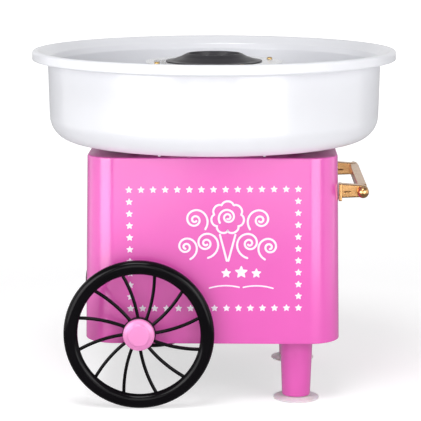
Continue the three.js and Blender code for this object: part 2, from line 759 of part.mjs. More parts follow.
function motorBracket() {
  const halfLength = POST_X + 8;
  const top = STRAP_BOTTOM + STRAP_THICKNESS;
  const plate = block(-halfLength, halfLength, -STRAP_HALF_WIDTH, STRAP_HALF_WIDTH, STRAP_BOTTOM, top);
  const through = [STRAP_BOTTOM - PAST, top + PAST];
  const holes = [-POST_X, POST_X].map((x) => rodZ(x, 0, ...through, CLEARANCE_BORE, SMALL));
  return cut(plate, rodZ(0, 0, ...through, BUSH_RADIUS + 1, COARSE), ...holes);
}
addPart("motor_bracket", motorBracket(), steel);
[-POST_X, POST_X].forEach((x, k) => {
  const part = addPart(`motor_screw_${k + 1}`, screw(3.6, 2.2, 1.2, SCREW_LENGTH), steel);
  part.rotation.x = Math.PI;
  part.position.set(x, 0, STRAP_BOTTOM - GAP);
});

// ---- Spinner: everything that turns with the motor and stays in the body ----
function motorShaft() {
  const pinHole = rodX(0, PIN_Z, -SHAFT_RADIUS - PAST, SHAFT_RADIUS + PAST, PIN_RADIUS + GAP, SMALL);
  return cut(rodZ(0, 0, SHAFT_BOTTOM, SHAFT_TOP, SHAFT_RADIUS), pinHole);
}
addPart("motor_shaft", motorShaft(), steel);
addPart("drive_pin", rodX(0, PIN_Z, -PIN_HALF_LENGTH, PIN_HALF_LENGTH, PIN_RADIUS, SMALL), steel);
const armature = ring(SHAFT_RADIUS + GAP, ARMATURE_RADIUS, ARMATURE_BOTTOM, ARMATURE_TOP, MEDIUM);
addPart("armature", armature, copper);

function coolingFan() {
  const blade = () => block(FAN_HUB_RADIUS - 2, FAN_RADIUS - 1, -0.7, 0.7, FAN_BOTTOM + 1, FAN_TOP);
  const blades = Array.from({ length: FAN_BLADES }, (_, k) =>
    blade().rotateZ(radians((360 / FAN_BLADES) * k + 10)));
  const hub = ring(SHAFT_RADIUS + GAP, FAN_HUB_RADIUS, FAN_BOTTOM, FAN_TOP, COARSE);
  const backplate = ring(FAN_HUB_RADIUS - 0.5, FAN_RADIUS, FAN_BOTTOM, FAN_BOTTOM + 1.4, MEDIUM);
  return join(hub, backplate, ...blades);
}
addPart("cooling_fan", coolingFan(), whitePlastic);

// ---- Lift-off head: hub, dish, mesh, disc and sugar funnel ----
function driveHub() {
  const seatTop = DISH_FLOOR - GAP;
  const hub = turned(
    [
      [0, HUB_BORE_TOP],
      [HUB_BORE, HUB_BORE_TOP],
      [HUB_BORE, DRIVE_HUB_BOTTOM],
      [DRIVE_HUB_RADIUS, DRIVE_HUB_BOTTOM],
      [DRIVE_HUB_RADIUS, DISH_SEAT_BOTTOM],
      [DISH_SEAT_RADIUS, DISH_SEAT_BOTTOM],
      [DISH_SEAT_RADIUS, seatTop],
      [DRIVE_HUB_RADIUS, seatTop],
      [DRIVE_HUB_RADIUS, DRIVE_HUB_TOP],
      [0, DRIVE_HUB_TOP],
    ],
    MEDIUM,
  );
  const halfSlot = PIN_RADIUS + 0.4;
  const halfLength = PIN_HALF_LENGTH + 0.8;
  const pinSlot = block(-halfLength, halfLength, -halfSlot, halfSlot, DRIVE_HUB_BOTTOM - PAST, PIN_Z + halfSlot);
  const bores = [-FUNNEL_SCREW_X, FUNNEL_SCREW_X].map((x) =>
    rodZ(x, 0, 230, DRIVE_HUB_TOP + PAST, FUNNEL_SCREW_BORE, SMALL));
  return cut(hub, pinSlot, ...bores);
}

const discScrewPlaces = Array.from({ length: DISC_SCREWS }, (_, k) => {
  const angle = radians(DISC_SCREW_ANGLE + (360 / DISC_SCREWS) * k);
  return [DISC_SCREW_RADIUS * Math.cos(angle), DISC_SCREW_RADIUS * Math.sin(angle)];
});
const DISC_BOTTOM = DISC_TOP - DISC_THICKNESS;
const DISH_TOP = DISC_BOTTOM - GAP;

function spinnerDish() {
  const inside = DISH_RADIUS - DISH_WALL;
  const dish = turned(
    [
      [DRIVE_HUB_RADIUS + GAP, DISH_FLOOR],
      [DISH_FLOOR_RADIUS, DISH_FLOOR],
      [DISH_RADIUS, DISH_RIM_BOTTOM],
      [DISH_RADIUS, DISH_TOP],
      [inside, DISH_TOP],
      [inside, DISH_RIM_BOTTOM + 0.6],
      [DISH_FLOOR_RADIUS - 0.5, DISH_FLOOR + DISH_WALL],
      [DRIVE_HUB_RADIUS + GAP, DISH_FLOOR + DISH_WALL],
    ],
    FINE,
  );
  const bosses = discScrewPlaces.map(([x, y]) => rodZ(x, y, DISH_TOP - 2.7, DISH_TOP, 2.4, SMALL));
  const bores = discScrewPlaces.map(([x, y]) => rodZ(x, y, DISH_TOP - 1.9, DISH_TOP + PAST, 1.2, SMALL));
  return cut(join(dish, ...bosses), ...bores);
}

function spinnerDisc() {
  const disc = turned(
    [
      [DISC_HOLE, DISC_BOTTOM],
      [DISC_RADIUS, DISC_BOTTOM],
      [DISC_RADIUS, DISC_TOP - 0.4],
      [DISC_RADIUS - 0.4, DISC_TOP],
      [DISC_HOLE, DISC_TOP],
    ],
    FINE,
  );
  const bores = discScrewPlaces.map(([x, y]) => rodZ(x, y, DISC_BOTTOM - PAST, DISC_TOP + PAST, 1.3, SMALL));
  return cut(disc, ...bores);
}

function sugarFunnel() {
  const seat = DISC_TOP + GAP;
  const bottom = DRIVE_HUB_TOP + GAP;
  const funnel = turned(
    [
      [0, bottom],
      [FUNNEL_STEM, bottom],
      [FUNNEL_STEM, seat],
      [FUNNEL_RADIUS, seat],
      [33, seat + 0.9],
      [29, seat + 2],
      [25, seat + 3.6],
      [21.4, FUNNEL_TOP - 0.4],
      [20.6, FUNNEL_TOP],
      [FUNNEL_MOUTH, FUNNEL_TOP - 0.2],
      [FUNNEL_STEM - 1, FUNNEL_FLOOR],
      [FUNNEL_BOSS + 0.2, FUNNEL_FLOOR],
      [FUNNEL_BOSS, FUNNEL_BOSS_TOP],
      [0, FUNNEL_BOSS_TOP],
    ],
    FINE,
  );
  const bores = [-FUNNEL_SCREW_X, FUNNEL_SCREW_X].map((x) =>
    rodZ(x, 0, bottom - PAST, FUNNEL_BOSS_TOP + PAST, FUNNEL_SCREW_BORE, SMALL));
  const portBottom = FUNNEL_FLOOR + 0.2;
  const portTop = portBottom + 3;
  const port = () => block(-20, 20, -1.8, 1.8, portBottom, portTop);
  const keep = rodZ(0, 0, portBottom - PAST, portTop + PAST, FUNNEL_BOSS + 2, COARSE);
  const ports = Array.from({ length: SUGAR_PORTS }, (_, k) =>
    cut(port().rotateZ(radians(30 + (180 / SUGAR_PORTS) * k)), keep));
  return cut(funnel, ...bores, ...ports);
}

const head = new THREE.Group();
machine.add(head);
addPart("drive_hub", driveHub(), aluminium, head);
addPart("spinner_dish", spinnerDish(), aluminium, head);
addPart("sugar_mesh", ring(MESH_INNER, MESH_OUTER, MESH_BOTTOM, DISH_TOP, MEDIUM), steel, head);
addPart("spinner_disc", spinnerDisc(), aluminium, head);
addPart("sugar_funnel", sugarFunnel(), blackPlastic, head);
discScrewPlaces.forEach(([x, y], k) => {
  addPart(`disc_screw_${k + 1}`, screw(2.3, 1.1, 0.8, 3), brass, head).position.set(x, y, DISC_TOP + 0.2);
});
[-1, 1].forEach((side, k) => {
  const part = addPart(`funnel_screw_${k + 1}`, screw(2.9, 3.2, 1.2, 15), steel, head);
  part.position.set(side * FUNNEL_SCREW_X, 0, FUNNEL_BOSS_TOP + GAP);
});

// ---- Bowl ----
function bowl() {
  const insideRadius = BOWL_CORNER - BOWL_WALL;
  const cornerZ = BOWL_BOTTOM + BOWL_CORNER;
  const floorTop = BOWL_BOTTOM + BOWL_WALL;
  const sides = turned(
    [
      [BOWL_HOLE, BOWL_BOTTOM],
      ...arc(BOWL_FLOOR_RADIUS, cornerZ, BOWL_CORNER, -90, 0, 3),
      [BOWL_FLOOR_RADIUS + BOWL_CORNER + 1.2, BOWL_WALL_TOP],
      [BOWL_FLOOR_RADIUS + BOWL_CORNER + 3, BOWL_WALL_TOP + 3.1],
      [RIM_RADIUS - RIM_LIP, BOWL_WALL_TOP + 6],
      [RIM_RADIUS - RIM_LIP, RIM_LIP_BOTTOM],
      [RIM_RADIUS, RIM_LIP_BOTTOM],
      [RIM_RADIUS, RIM_TOP - 2.2],
      [RIM_RADIUS - 2.5, RIM_TOP],
      [BOWL_FLOOR_RADIUS + BOWL_CORNER + 1.9, BOWL_WALL_TOP + 4.9],
      [BOWL_FLOOR_RADIUS + BOWL_CORNER - 1.2, BOWL_WALL_TOP - 0.5],
      ...arc(BOWL_FLOOR_RADIUS, cornerZ, insideRadius, 0, -90, 3),
      [BOWL_HOLE + BOWL_WALL, floorTop],
      [BOWL_HOLE + BOWL_WALL, BOWL_COLLAR_TOP],
      [BOWL_HOLE, BOWL_COLLAR_TOP],
    ],
    FINE,
  );
  const lugs = [-LUG_X, LUG_X].flatMap((x) =>
    [[-LUG_FAR, -LUG_NEAR], [LUG_NEAR, LUG_FAR]].map((reach) =>
      block(x - LUG_HALF_WIDTH, x + LUG_HALF_WIDTH, ...reach, LUG_BOTTOM, BOWL_BOTTOM + BOWL_WALL / 2)));
  return join(sides, ...lugs);
}

addPart("bowl", bowl(), whitePlastic);

// ---- Switch, cord gland and wiring, on and behind the back panel ----
const SWITCH_FACE = rearFace(SWITCH_Z - BEZEL_HALF_Z) + GAP;
const ROCKER_AXIS_Y = SWITCH_FACE + 0.8;

function switchHousing() {
  const box = (halfX, halfZ, behind, ahead) =>
    block(-halfX, halfX, SWITCH_FACE - behind, SWITCH_FACE + ahead, -halfZ, halfZ);
  const bezel = box(BEZEL_HALF_X, BEZEL_HALF_Z, 0, BEZEL_DEPTH);
  const inner = box(SWITCH_HALF_X, SWITCH_HALF_Z, SWITCH_DEPTH, BEZEL_DEPTH / 2);
  const pocket = box(POCKET_HALF_X, POCKET_HALF_Z, POCKET_DEPTH, BEZEL_DEPTH + PAST);
  return cut(join(bezel, inner), pocket).translate(SWITCH_X, 0, SWITCH_Z);
}

// The rocker is drawn level, with its pivot at the origin, and then tipped to its off position.
function switchRocker() {
  const outline = new THREE.Shape();
  outline.moveTo(-ROCKER_HALF_LENGTH, 0.6);
  outline.lineTo(-ROCKER_HALF_LENGTH, 2.6);
  outline.quadraticCurveTo(0, 1, ROCKER_HALF_LENGTH, 2.6);
  outline.lineTo(ROCKER_HALF_LENGTH, 0.6);
  outline.absarc(0, 0, ROCKER_BARREL, 0, -Math.PI, true);
  outline.closePath();
  const depth = 2 * ROCKER_HALF_WIDTH;
  const body = new THREE.ExtrudeGeometry(outline, { depth, bevelEnabled: false, curveSegments: 6 });
  return body.translate(0, 0, -ROCKER_HALF_WIDTH).rotateY(-Math.PI / 2).rotateX(radians(ROCKER_TILT));
}

addPart("switch_housing", switchHousing(), blackPlastic);
addPart("switch_rocker", switchRocker(), whitePlastic).position.set(SWITCH_X, ROCKER_AXIS_Y, SWITCH_Z);

function cordGland() {
  const outline = [
    [GLAND_BORE, -10],
    [GLAND_NECK, -10],
    [GLAND_NECK, 0],
    [6.2, 0],
    [5.4, 4],
    [GLAND_BORE, 4],
  ];
  return turned(outline, COARSE).rotateX(-Math.PI / 2);
}
addPart("cord_gland", cordGland(), rubber).position.set(GLAND_X, rearFace(GLAND_Z) + GAP, GLAND_Z);

// The terminal block stands on the base plate. The lead leaves its top and goes up through the shield.
const TERMINAL_TOP = 62;
const LEAD_ROUTE = [
  [36, 44, TERMINAL_TOP + 0.6],
  [34, 40, 90],
  [38, 30, 150],
  [30, 22, 180],
  [26, 16, SHIELD_TOP + 2.6],
];
addPart("terminal_block", block(30, 52, 42, 54, PLATE_TOP + GAP, TERMINAL_TOP), whitePlastic);
addPart("heater_lead", tube(LEAD_ROUTE, 1.2, 16, 6), wireRed);

export default machine;
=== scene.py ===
import json
import math

import bpy
from mathutils import Matrix, Vector


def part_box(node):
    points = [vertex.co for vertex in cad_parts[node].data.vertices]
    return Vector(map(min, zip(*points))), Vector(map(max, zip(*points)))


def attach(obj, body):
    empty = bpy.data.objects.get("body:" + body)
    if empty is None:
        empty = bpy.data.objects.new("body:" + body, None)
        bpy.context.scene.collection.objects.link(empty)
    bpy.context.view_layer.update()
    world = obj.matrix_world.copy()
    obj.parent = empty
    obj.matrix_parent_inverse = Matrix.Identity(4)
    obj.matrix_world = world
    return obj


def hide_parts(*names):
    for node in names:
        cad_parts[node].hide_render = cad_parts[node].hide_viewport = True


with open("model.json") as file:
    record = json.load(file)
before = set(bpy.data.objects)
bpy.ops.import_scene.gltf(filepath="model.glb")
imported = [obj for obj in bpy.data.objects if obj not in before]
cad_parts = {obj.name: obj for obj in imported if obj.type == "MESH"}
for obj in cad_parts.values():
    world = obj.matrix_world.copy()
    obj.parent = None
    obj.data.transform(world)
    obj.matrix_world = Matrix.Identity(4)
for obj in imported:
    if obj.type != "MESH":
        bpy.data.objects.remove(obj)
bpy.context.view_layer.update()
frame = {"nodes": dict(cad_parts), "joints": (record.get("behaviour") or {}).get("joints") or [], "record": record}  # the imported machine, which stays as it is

MM = 0.001
ARC_STEP = math.radians(11)  # the largest turn between two points of a rounded corner
ROUND = 160  # segments round the large turned pieces
MEDIUM = 96
SMALL = 40
FRONT, REAR = -1, 1  # signs of Y
GAP = 0.3  # left between pieces that rest on each other
LONGEST_ROUND = 0.48  # the share of a side that one rounded corner may take up
GREYS = 0.3, 0.7  # the values that a noise texture mostly stays between

NODE_SLOT = {part["node"]: part["material_slot"] for part in frame["record"]["subparts"]}
NODE_BODY = {
    node: body
    for body, nodes in frame["record"]["behaviour"]["bodies"].items()
    for node in nodes
}


def span(node):
    """The lowest and highest corner of a CAD node, in millimetres."""
    low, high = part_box(node)
    return low / MM, high / MM


# ---- sizes from the frame
BOWL_LOW, BOWL_HIGH = span("bowl")
SHELL_LOW, SHELL_HIGH = span("body_shell")
WHEEL_LOW, WHEEL_HIGH = span("front_wheel")
CAP_LOW, CAP_HIGH = span("front_hub_cap")
LEG_LOW, LEG_HIGH = span("front_leg")
CUP_LOW, CUP_HIGH = span("front_suction_cup")
ARM_LOW, ARM_HIGH = span("front_handle_bracket")
BAR_LOW, BAR_HIGH = span("handle_bar")
KNOB_LOW, KNOB_HIGH = span("front_handle_knob")
TURRET_LOW, TURRET_HIGH = span("heater_housing")
DISC_LOW, DISC_HIGH = span("spinner_disc")
FUNNEL_LOW, FUNNEL_HIGH = span("sugar_funnel")
DISH_LOW, DISH_HIGH = span("spinner_dish")
HUB_LOW, HUB_HIGH = span("drive_hub")
FORMER_LOW, FORMER_HIGH = span("ceramic_former")
SWITCH_LOW, SWITCH_HIGH = span("switch_housing")
GLAND_LOW, GLAND_HIGH = span("cord_gland")

RIM_RADIUS = BOWL_HIGH.x
RIM_TOP = BOWL_HIGH.z
BODY_BOTTOM = SHELL_LOW.z
BODY_TOP = SHELL_HIGH.z
BODY_HALF_X = SHELL_HIGH.x
BODY_HALF_Y = SHELL_HIGH.y
SEAT_HEIGHT = 4.6
BODY_EDGE = BODY_TOP - SEAT_HEIGHT  # top of the sides, where the flat ledge under the bowl begins
BODY_DRAFT = 2.3  # how far each side leans in from the bottom to the ledge
SEAT_RADIUS = 66  # the raised seat that the bowl stands on
BODY_CORNER = 23
SHELL_WALL = 2.4
TYRE_HALF_WIDTH = 4.5
AXLE_RADIUS = 3
AXLE_BORE = 3.3  # in the hubs and the bushes
WHEEL_RADIUS = (WHEEL_HIGH.z - WHEEL_LOW.z) / 2
WHEEL_X = (WHEEL_HIGH.x + WHEEL_LOW.x) / 2
WHEEL_Y = -WHEEL_LOW.y - TYRE_HALF_WIDTH  # middle of the tyre's width
AXLE_Z = WHEEL_RADIUS
CAP_RADIUS = (CAP_HIGH.x - CAP_LOW.x) / 2
LEG_X = (LEG_HIGH.x + LEG_LOW.x) / 2
LEG_Y = -(LEG_HIGH.y + LEG_LOW.y) / 2
CUP_RADIUS = (CUP_HIGH.x - CUP_LOW.x) / 2
BRACKET_Y = -(ARM_HIGH.y + ARM_LOW.y) / 2
BAR_X = (BAR_HIGH.x + BAR_LOW.x) / 2
HANDLE_Z = (KNOB_HIGH.z + KNOB_LOW.z) / 2
SWITCH_X = (SWITCH_LOW.x + SWITCH_HIGH.x) / 2
SWITCH_Z = (SWITCH_LOW.z + SWITCH_HIGH.z) / 2
GLAND_X = (GLAND_LOW.x + GLAND_HIGH.x) / 2
GLAND_Z = (GLAND_LOW.z + GLAND_HIGH.z) / 2


# ---- shapes
def rounded(corners, closed=True):
    """The points of an outline whose corners, each (x, y, radius), are rounded by arcs."""
    points = []
    for k, (x, y, radius) in enumerate(corners):
        here = Vector((x, y))
        at_end = not closed and k in (0, len(corners) - 1)
        if radius == 0 or at_end:
            points.append(here)
            continue
        back = Vector(corners[k - 1][:2]) - here
        ahead = Vector(corners[(k + 1) % len(corners)][:2]) - here
        half = back.angle(ahead) / 2
        reach = min(radius / math.tan(half), LONGEST_ROUND * min(back.length, ahead.length))
        towards = (back.normalized() + ahead.normalized()).normalized()
        centre = here + towards * reach / math.cos(half)
        spoke_to_start = here + reach * back.normalized() - centre
        turn = math.copysign(math.pi - 2 * half, back.y * ahead.x - back.x * ahead.y)
        steps = max(2, math.ceil(abs(turn) / ARC_STEP))
        for step in range(steps + 1):
            points.append(centre + Matrix.Rotation(turn * step / steps, 2) @ spoke_to_start)
    return points


def box_outline(x_from, y_from, x_to, y_to, radius):
    """A rectangle with rounded corners."""
    corners = [(x_from, y_from), (x_to, y_from), (x_to, y_to), (x_from, y_to)]
    return rounded([(x, y, radius) for x, y in corners])


def bar_outline(radius, low, high, low_edge, high_edge):
    """The (r, z) outline of a round bar with rounded ends."""
    return rounded([(0, low, 0), (radius, low, low_edge), (radius, high, high_edge), (0, high, 0)])


def arc(x, y, radius, from_degrees, to_degrees, steps=24):
    """Points on a circular arc."""
    angles = [from_degrees + (to_degrees - from_degrees) * k / steps for k in range(steps + 1)]
    return [
        Vector((x + radius * math.cos(math.radians(a)), y + radius * math.sin(math.radians(a))))
        for a in angles
    ]


def turned(outline, segments=ROUND):
    """The solid that an outline of (r, z) points, counter-clockwise, sweeps about Z."""
    verts = []
    rings = []
    for r, z in outline:
        if r < 1e-6:
            rings.append([len(verts)] * segments)
            verts.append(Vector((0, 0, z)))
            continue
        rings.append(list(range(len(verts), len(verts) + segments)))
        for k in range(segments):
            angle = math.tau * k / segments
            verts.append(Vector((r * math.cos(angle), r * math.sin(angle), z)))
    faces = []
    for low, high in zip(rings, rings[1:] + rings[:1]):
        for k in range(segments):
            n = (k + 1) % segments
            corners = list(dict.fromkeys((low[k], low[n], high[n], high[k])))
            if len(corners) > 2:
                faces.append(corners)
    return verts, faces


def loft(levels):
    """A closed body through levels that all have the same number of points."""
    count = len(levels[0])
    verts = [Vector(point) for level in levels for point in level]
    faces = []
    for level in range(len(levels) - 1):
        low = level * count
        for k in range(count):
            n = (k + 1) % count
            faces.append((low + k, low + n, low + count + n, low + count + k))
    top = (len(levels) - 1) * count
    faces.append(tuple(reversed(range(count))))
    faces.append(tuple(range(top, top + count)))
    return verts, faces


def prism(outline, bottom, top):
    """An outline of (x, y) points, counter-clockwise, made solid between two heights."""
    return loft([[(x, y, z) for x, y in outline] for z in (bottom, top)])


def block(low, high):
    corners = [(low[0], low[1]), (high[0], low[1]), (high[0], high[1]), (low[0], high[1])]
    return prism(corners, low[2], high[2])


def rod(radius, bottom, top, segments=SMALL):
    return turned([(0, bottom), (radius, bottom), (radius, top), (0, top)], segments)


def swept(path, section):
    """A bar along a path of (x, y) points. Its section is (side, height) points, counter-clockwise."""
    levels = []
    for k, point in enumerate(path):
        along = (path[min(k + 1, len(path) - 1)] - path[max(k - 1, 0)]).normalized()
        side = Vector((-along.y, along.x))
        levels.append([(*(point + side * s), height) for s, height in section])
    return loft(levels)


def moved(shape, *matrices):
    """The shape after the matrices, the last one first."""
    verts, faces = shape
    whole = Matrix.Identity(4)
    for matrix in matrices:
        whole = whole @ matrix
    return [whole @ v for v in verts], faces


def together(shapes):
    """Several shapes that don't meet, as one."""
    verts, faces = [], []
    for more_verts, more_faces in shapes:
        start = len(verts)
        verts.extend(more_verts)
        faces.extend(tuple(start + k for k in face) for face in more_faces)
    return verts, faces


def shift(x=0.0, y=0.0, z=0.0):
    return Matrix.Translation((x, y, z))


def spin(degrees, axis="Z"):
    return Matrix.Rotation(math.radians(degrees), 4, axis)


def polar(radius, degrees):
    return radius * math.cos(math.radians(degrees)), radius * math.sin(math.radians(degrees))


def raw(shape):
    """A shape as a Blender object, still in millimetres."""
    mesh = bpy.data.meshes.new("raw")
    mesh.from_pydata([tuple(v) for v in shape[0]], [], shape[1])
    mesh.update()
    obj = bpy.data.objects.new("raw", mesh)
    bpy.context.scene.collection.objects.link(obj)
    return obj


def apply_modifiers(obj):
    graph = bpy.context.evaluated_depsgraph_get()
    made = bpy.data.meshes.new_from_object(obj.evaluated_get(graph))
    old = obj.data
    obj.modifiers.clear()
    obj.data = made
    bpy.data.meshes.remove(old)
    return obj


def soften(obj, width, segments=3):
    """Rounds the sharp edges."""
    bevel = obj.modifiers.new("soften", "BEVEL")
    bevel.width = width
    bevel.segments = segments
    bevel.limit_method = "ANGLE"
    bevel.angle_limit = math.radians(40)
    return apply_modifiers(obj)


def combined(obj, tool, operation):
    modifier = obj.modifiers.new("combined", "BOOLEAN")
    modifier.operation = operation
    modifier.solver = "EXACT"
    modifier.object = tool
    apply_modifiers(obj)
    mesh = tool.data
    bpy.data.objects.remove(tool)
    bpy.data.meshes.remove(mesh)
    return obj


def cut(obj, *shapes):
    return combined(obj, raw(together(shapes)), "DIFFERENCE")


def join(obj, tool):
    return combined(obj, tool, "UNION")


# ---- materials
def blank(name):
    """A new material's node tree, its shader and the object's own coordinates, in metres."""
    material = bpy.data.materials.new(name)
    material.use_nodes = True
    tree = material.node_tree
    place = tree.nodes.new("ShaderNodeTexCoord").outputs["Object"]
    return material, tree, tree.nodes["Principled BSDF"], place


def add_node(tree, kind, source, socket, values):
    """A node that the source feeds at a socket, with constants at its other sockets."""
    node = tree.nodes.new("ShaderNode" + kind)
    for name, value in values.items():
        node.inputs[name].default_value = value
    tree.links.new(source, node.inputs[socket])
    return node


def stretched(tree, place, scale):
    return add_node(tree, "Mapping", place, "Vector", {"Scale": scale}).outputs["Vector"]


def noise(tree, place, size, detail=2.0):
    """Cloudy grey values whose features are about size millimetres across."""
    values = {"Scale": 1 / (size * MM), "Detail": detail}
    return add_node(tree, "TexNoise", place, "Vector", values).outputs["Fac"]


def rings(tree, place, pitch):
    """Grey values in fine circles about the Z axis, pitch millimetres apart."""
    values = {"Scale": math.tau / (20 * pitch * MM), "Distortion": 1.5, "Detail": 2}
    node = add_node(tree, "TexWave", place, "Vector", values)
    node.wave_type = "RINGS"
    node.rings_direction = "Z"
    return node.outputs["Fac"]


def tint(tree, factor, dark, light):
    """The colour that goes from dark to light as the grey value rises."""
    node = add_node(tree, "ValToRGB", factor, "Fac", {})
    low, high = node.color_ramp.elements
    low.position, high.position = GREYS
    low.color, high.color = (*dark, 1), (*light, 1)
    return node.outputs["Color"]


def remap(tree, factor, low, high, reach=GREYS):
    """Values that go evenly from low to high while the factor goes through its reach."""
    values = {"From Min": reach[0], "From Max": reach[1], "To Min": low, "To Max": high}
    return add_node(tree, "MapRange", factor, "Value", values).outputs["Result"]


def surface(tree, shader, colour, roughness, height, depth):
    """Gives the shader its maps: the height raises the surface by at most depth millimetres."""
    bump = add_node(tree, "Bump", height, "Height", {"Distance": depth * MM, "Strength": 1})
    tree.links.new(bump.outputs["Normal"], shader.inputs["Normal"])
    tree.links.new(colour, shader.inputs["Base Color"])
    tree.links.new(roughness, shader.inputs["Roughness"])


def shade_of(colour, share):
    return tuple(channel * share for channel in colour)


def plastic(
    name, colour, shade, roughness, coat=0.0, coat_roughness=0.06, specular=0.5, grain=1.2, depth=0.004
):
    """Moulded plastic: slightly cloudy colour, uneven gloss and a fine moulded texture."""
    material, tree, shader, place = blank(name)
    clouds = tint(tree, noise(tree, place, 22, 3), shade, colour)
    gloss = remap(tree, noise(tree, place, 9, 4), roughness * 0.85, roughness * 1.2)
    surface(tree, shader, clouds, gloss, noise(tree, place, grain, 3), depth)
    shader.inputs["Specular IOR Level"].default_value = specular
    shader.inputs["Coat Weight"].default_value = coat
    shader.inputs["Coat Roughness"].default_value = coat_roughness
    return material


def metal(name, colour, shade, roughness, marks, depth):
    """A metal with the tool marks that marks(tree, place) draws."""
    material, tree, shader, place = blank(name)
    stains = tint(tree, noise(tree, place, 7, 4), shade, colour)
    lines = marks(tree, place)
    gloss = remap(tree, lines, roughness * 0.75, roughness * 1.3)
    surface(tree, shader, stains, gloss, lines, depth)
    shader.inputs["Metallic"].default_value = 1
    return material


def turned_marks(tree, place):
    return rings(tree, place, 0.6)


def brushed_along_x(tree, place):
    return noise(tree, stretched(tree, place, (0.06, 1, 1)), 0.5, 3)


def brushed_along_z(tree, place):
    return noise(tree, stretched(tree, place, (1, 1, 0.08)), 0.4, 3)


def cast_marks(tree, place):
    return noise(tree, place, 0.8, 4)


def silicone():
    """Milky see-through silicone with a faint dusting."""
    material, tree, shader, place = blank("silicone")
    milk = tint(tree, noise(tree, place, 5, 3), (0.86, 0.78, 0.82), (0.95, 0.9, 0.93))
    dust = remap(tree, noise(tree, place, 2, 4), 0.3, 0.5)
    surface(tree, shader, milk, dust, noise(tree, place, 1.5, 3), 0.01)
    shader.inputs["Transmission Weight"].default_value = 0.35
    shader.inputs["IOR"].default_value = 1.41
    shader.inputs["Subsurface Weight"].default_value = 0.25
    shader.inputs["Subsurface Scale"].default_value = 2 * MM
    return material


def heating_wire():
    """Oxidised nickel-chrome, with straw and brown heat tints along the coil."""
    material, tree, shader, place = blank("heating_wire")
    tints = tint(tree, noise(tree, place, 6, 3), (0.16, 0.13, 0.17), (0.5, 0.38, 0.26))
    scale = remap(tree, noise(tree, place, 1, 4), 0.35, 0.6)
    surface(tree, shader, tints, scale, noise(tree, place, 0.3, 3), 0.01)
    shader.inputs["Metallic"].default_value = 1
    return material


def ceramic():
    """Unglazed ceramic with fine dark specks and pores."""
    material, tree, shader, place = blank("ceramic")
    specks = noise(tree, place, 0.7, 5)
    colour = tint(tree, specks, (0.62, 0.57, 0.49), (0.84, 0.8, 0.72))
    surface(tree, shader, colour, remap(tree, specks, 0.9, 0.65), specks, 0.05)
    return material


def print_ink():
    """White pad-printed ink, thin enough for a little of the pink to come through."""
    material, tree, shader, place = blank("print_ink")
    cover = tint(tree, noise(tree, place, 3, 4), (0.84, 0.71, 0.82), (0.9, 0.81, 0.89))
    gloss = remap(tree, noise(tree, place, 1, 3), 0.35, 0.5)
    surface(tree, shader, cover, gloss, noise(tree, place, 0.4, 2), 0.004)
    return material


def rising_glow(tree, place):
    """The table's glow, stronger away from the machine to make up for the falling light."""
    away = add_node(tree, "VectorMath", place, "Vector", {})
    away.operation = "LENGTH"
    return remap(tree, away.outputs["Value"], 0.6, 1.0, reach=(0.4, 1.6))


def floor_finish():
    """A pale studio table with a glow of its own, so that shadows on it stay light."""
    material, tree, shader, place = blank("studio_table")
    fibres = noise(tree, place, 4, 4)
    colour = tint(tree, fibres, (0.49, 0.49, 0.495), (0.51, 0.51, 0.515))
    surface(tree, shader, colour, remap(tree, fibres, 0.85, 0.95), fibres, 0.01)
    shader.inputs["Specular IOR Level"].default_value = 0.05
    shader.inputs["Emission Color"].default_value = (1, 1, 1, 1)
    tree.links.new(rising_glow(tree, place), shader.inputs["Emission Strength"])
    return material


PINK = (0.74, 0.09, 0.45)
PALE_PINK = (0.78, 0.24, 0.54)
WHITE = (0.7, 0.705, 0.74)
BLACK = (0.004, 0.0034, 0.0045)
GOLD = (0.57, 0.33, 0.15)

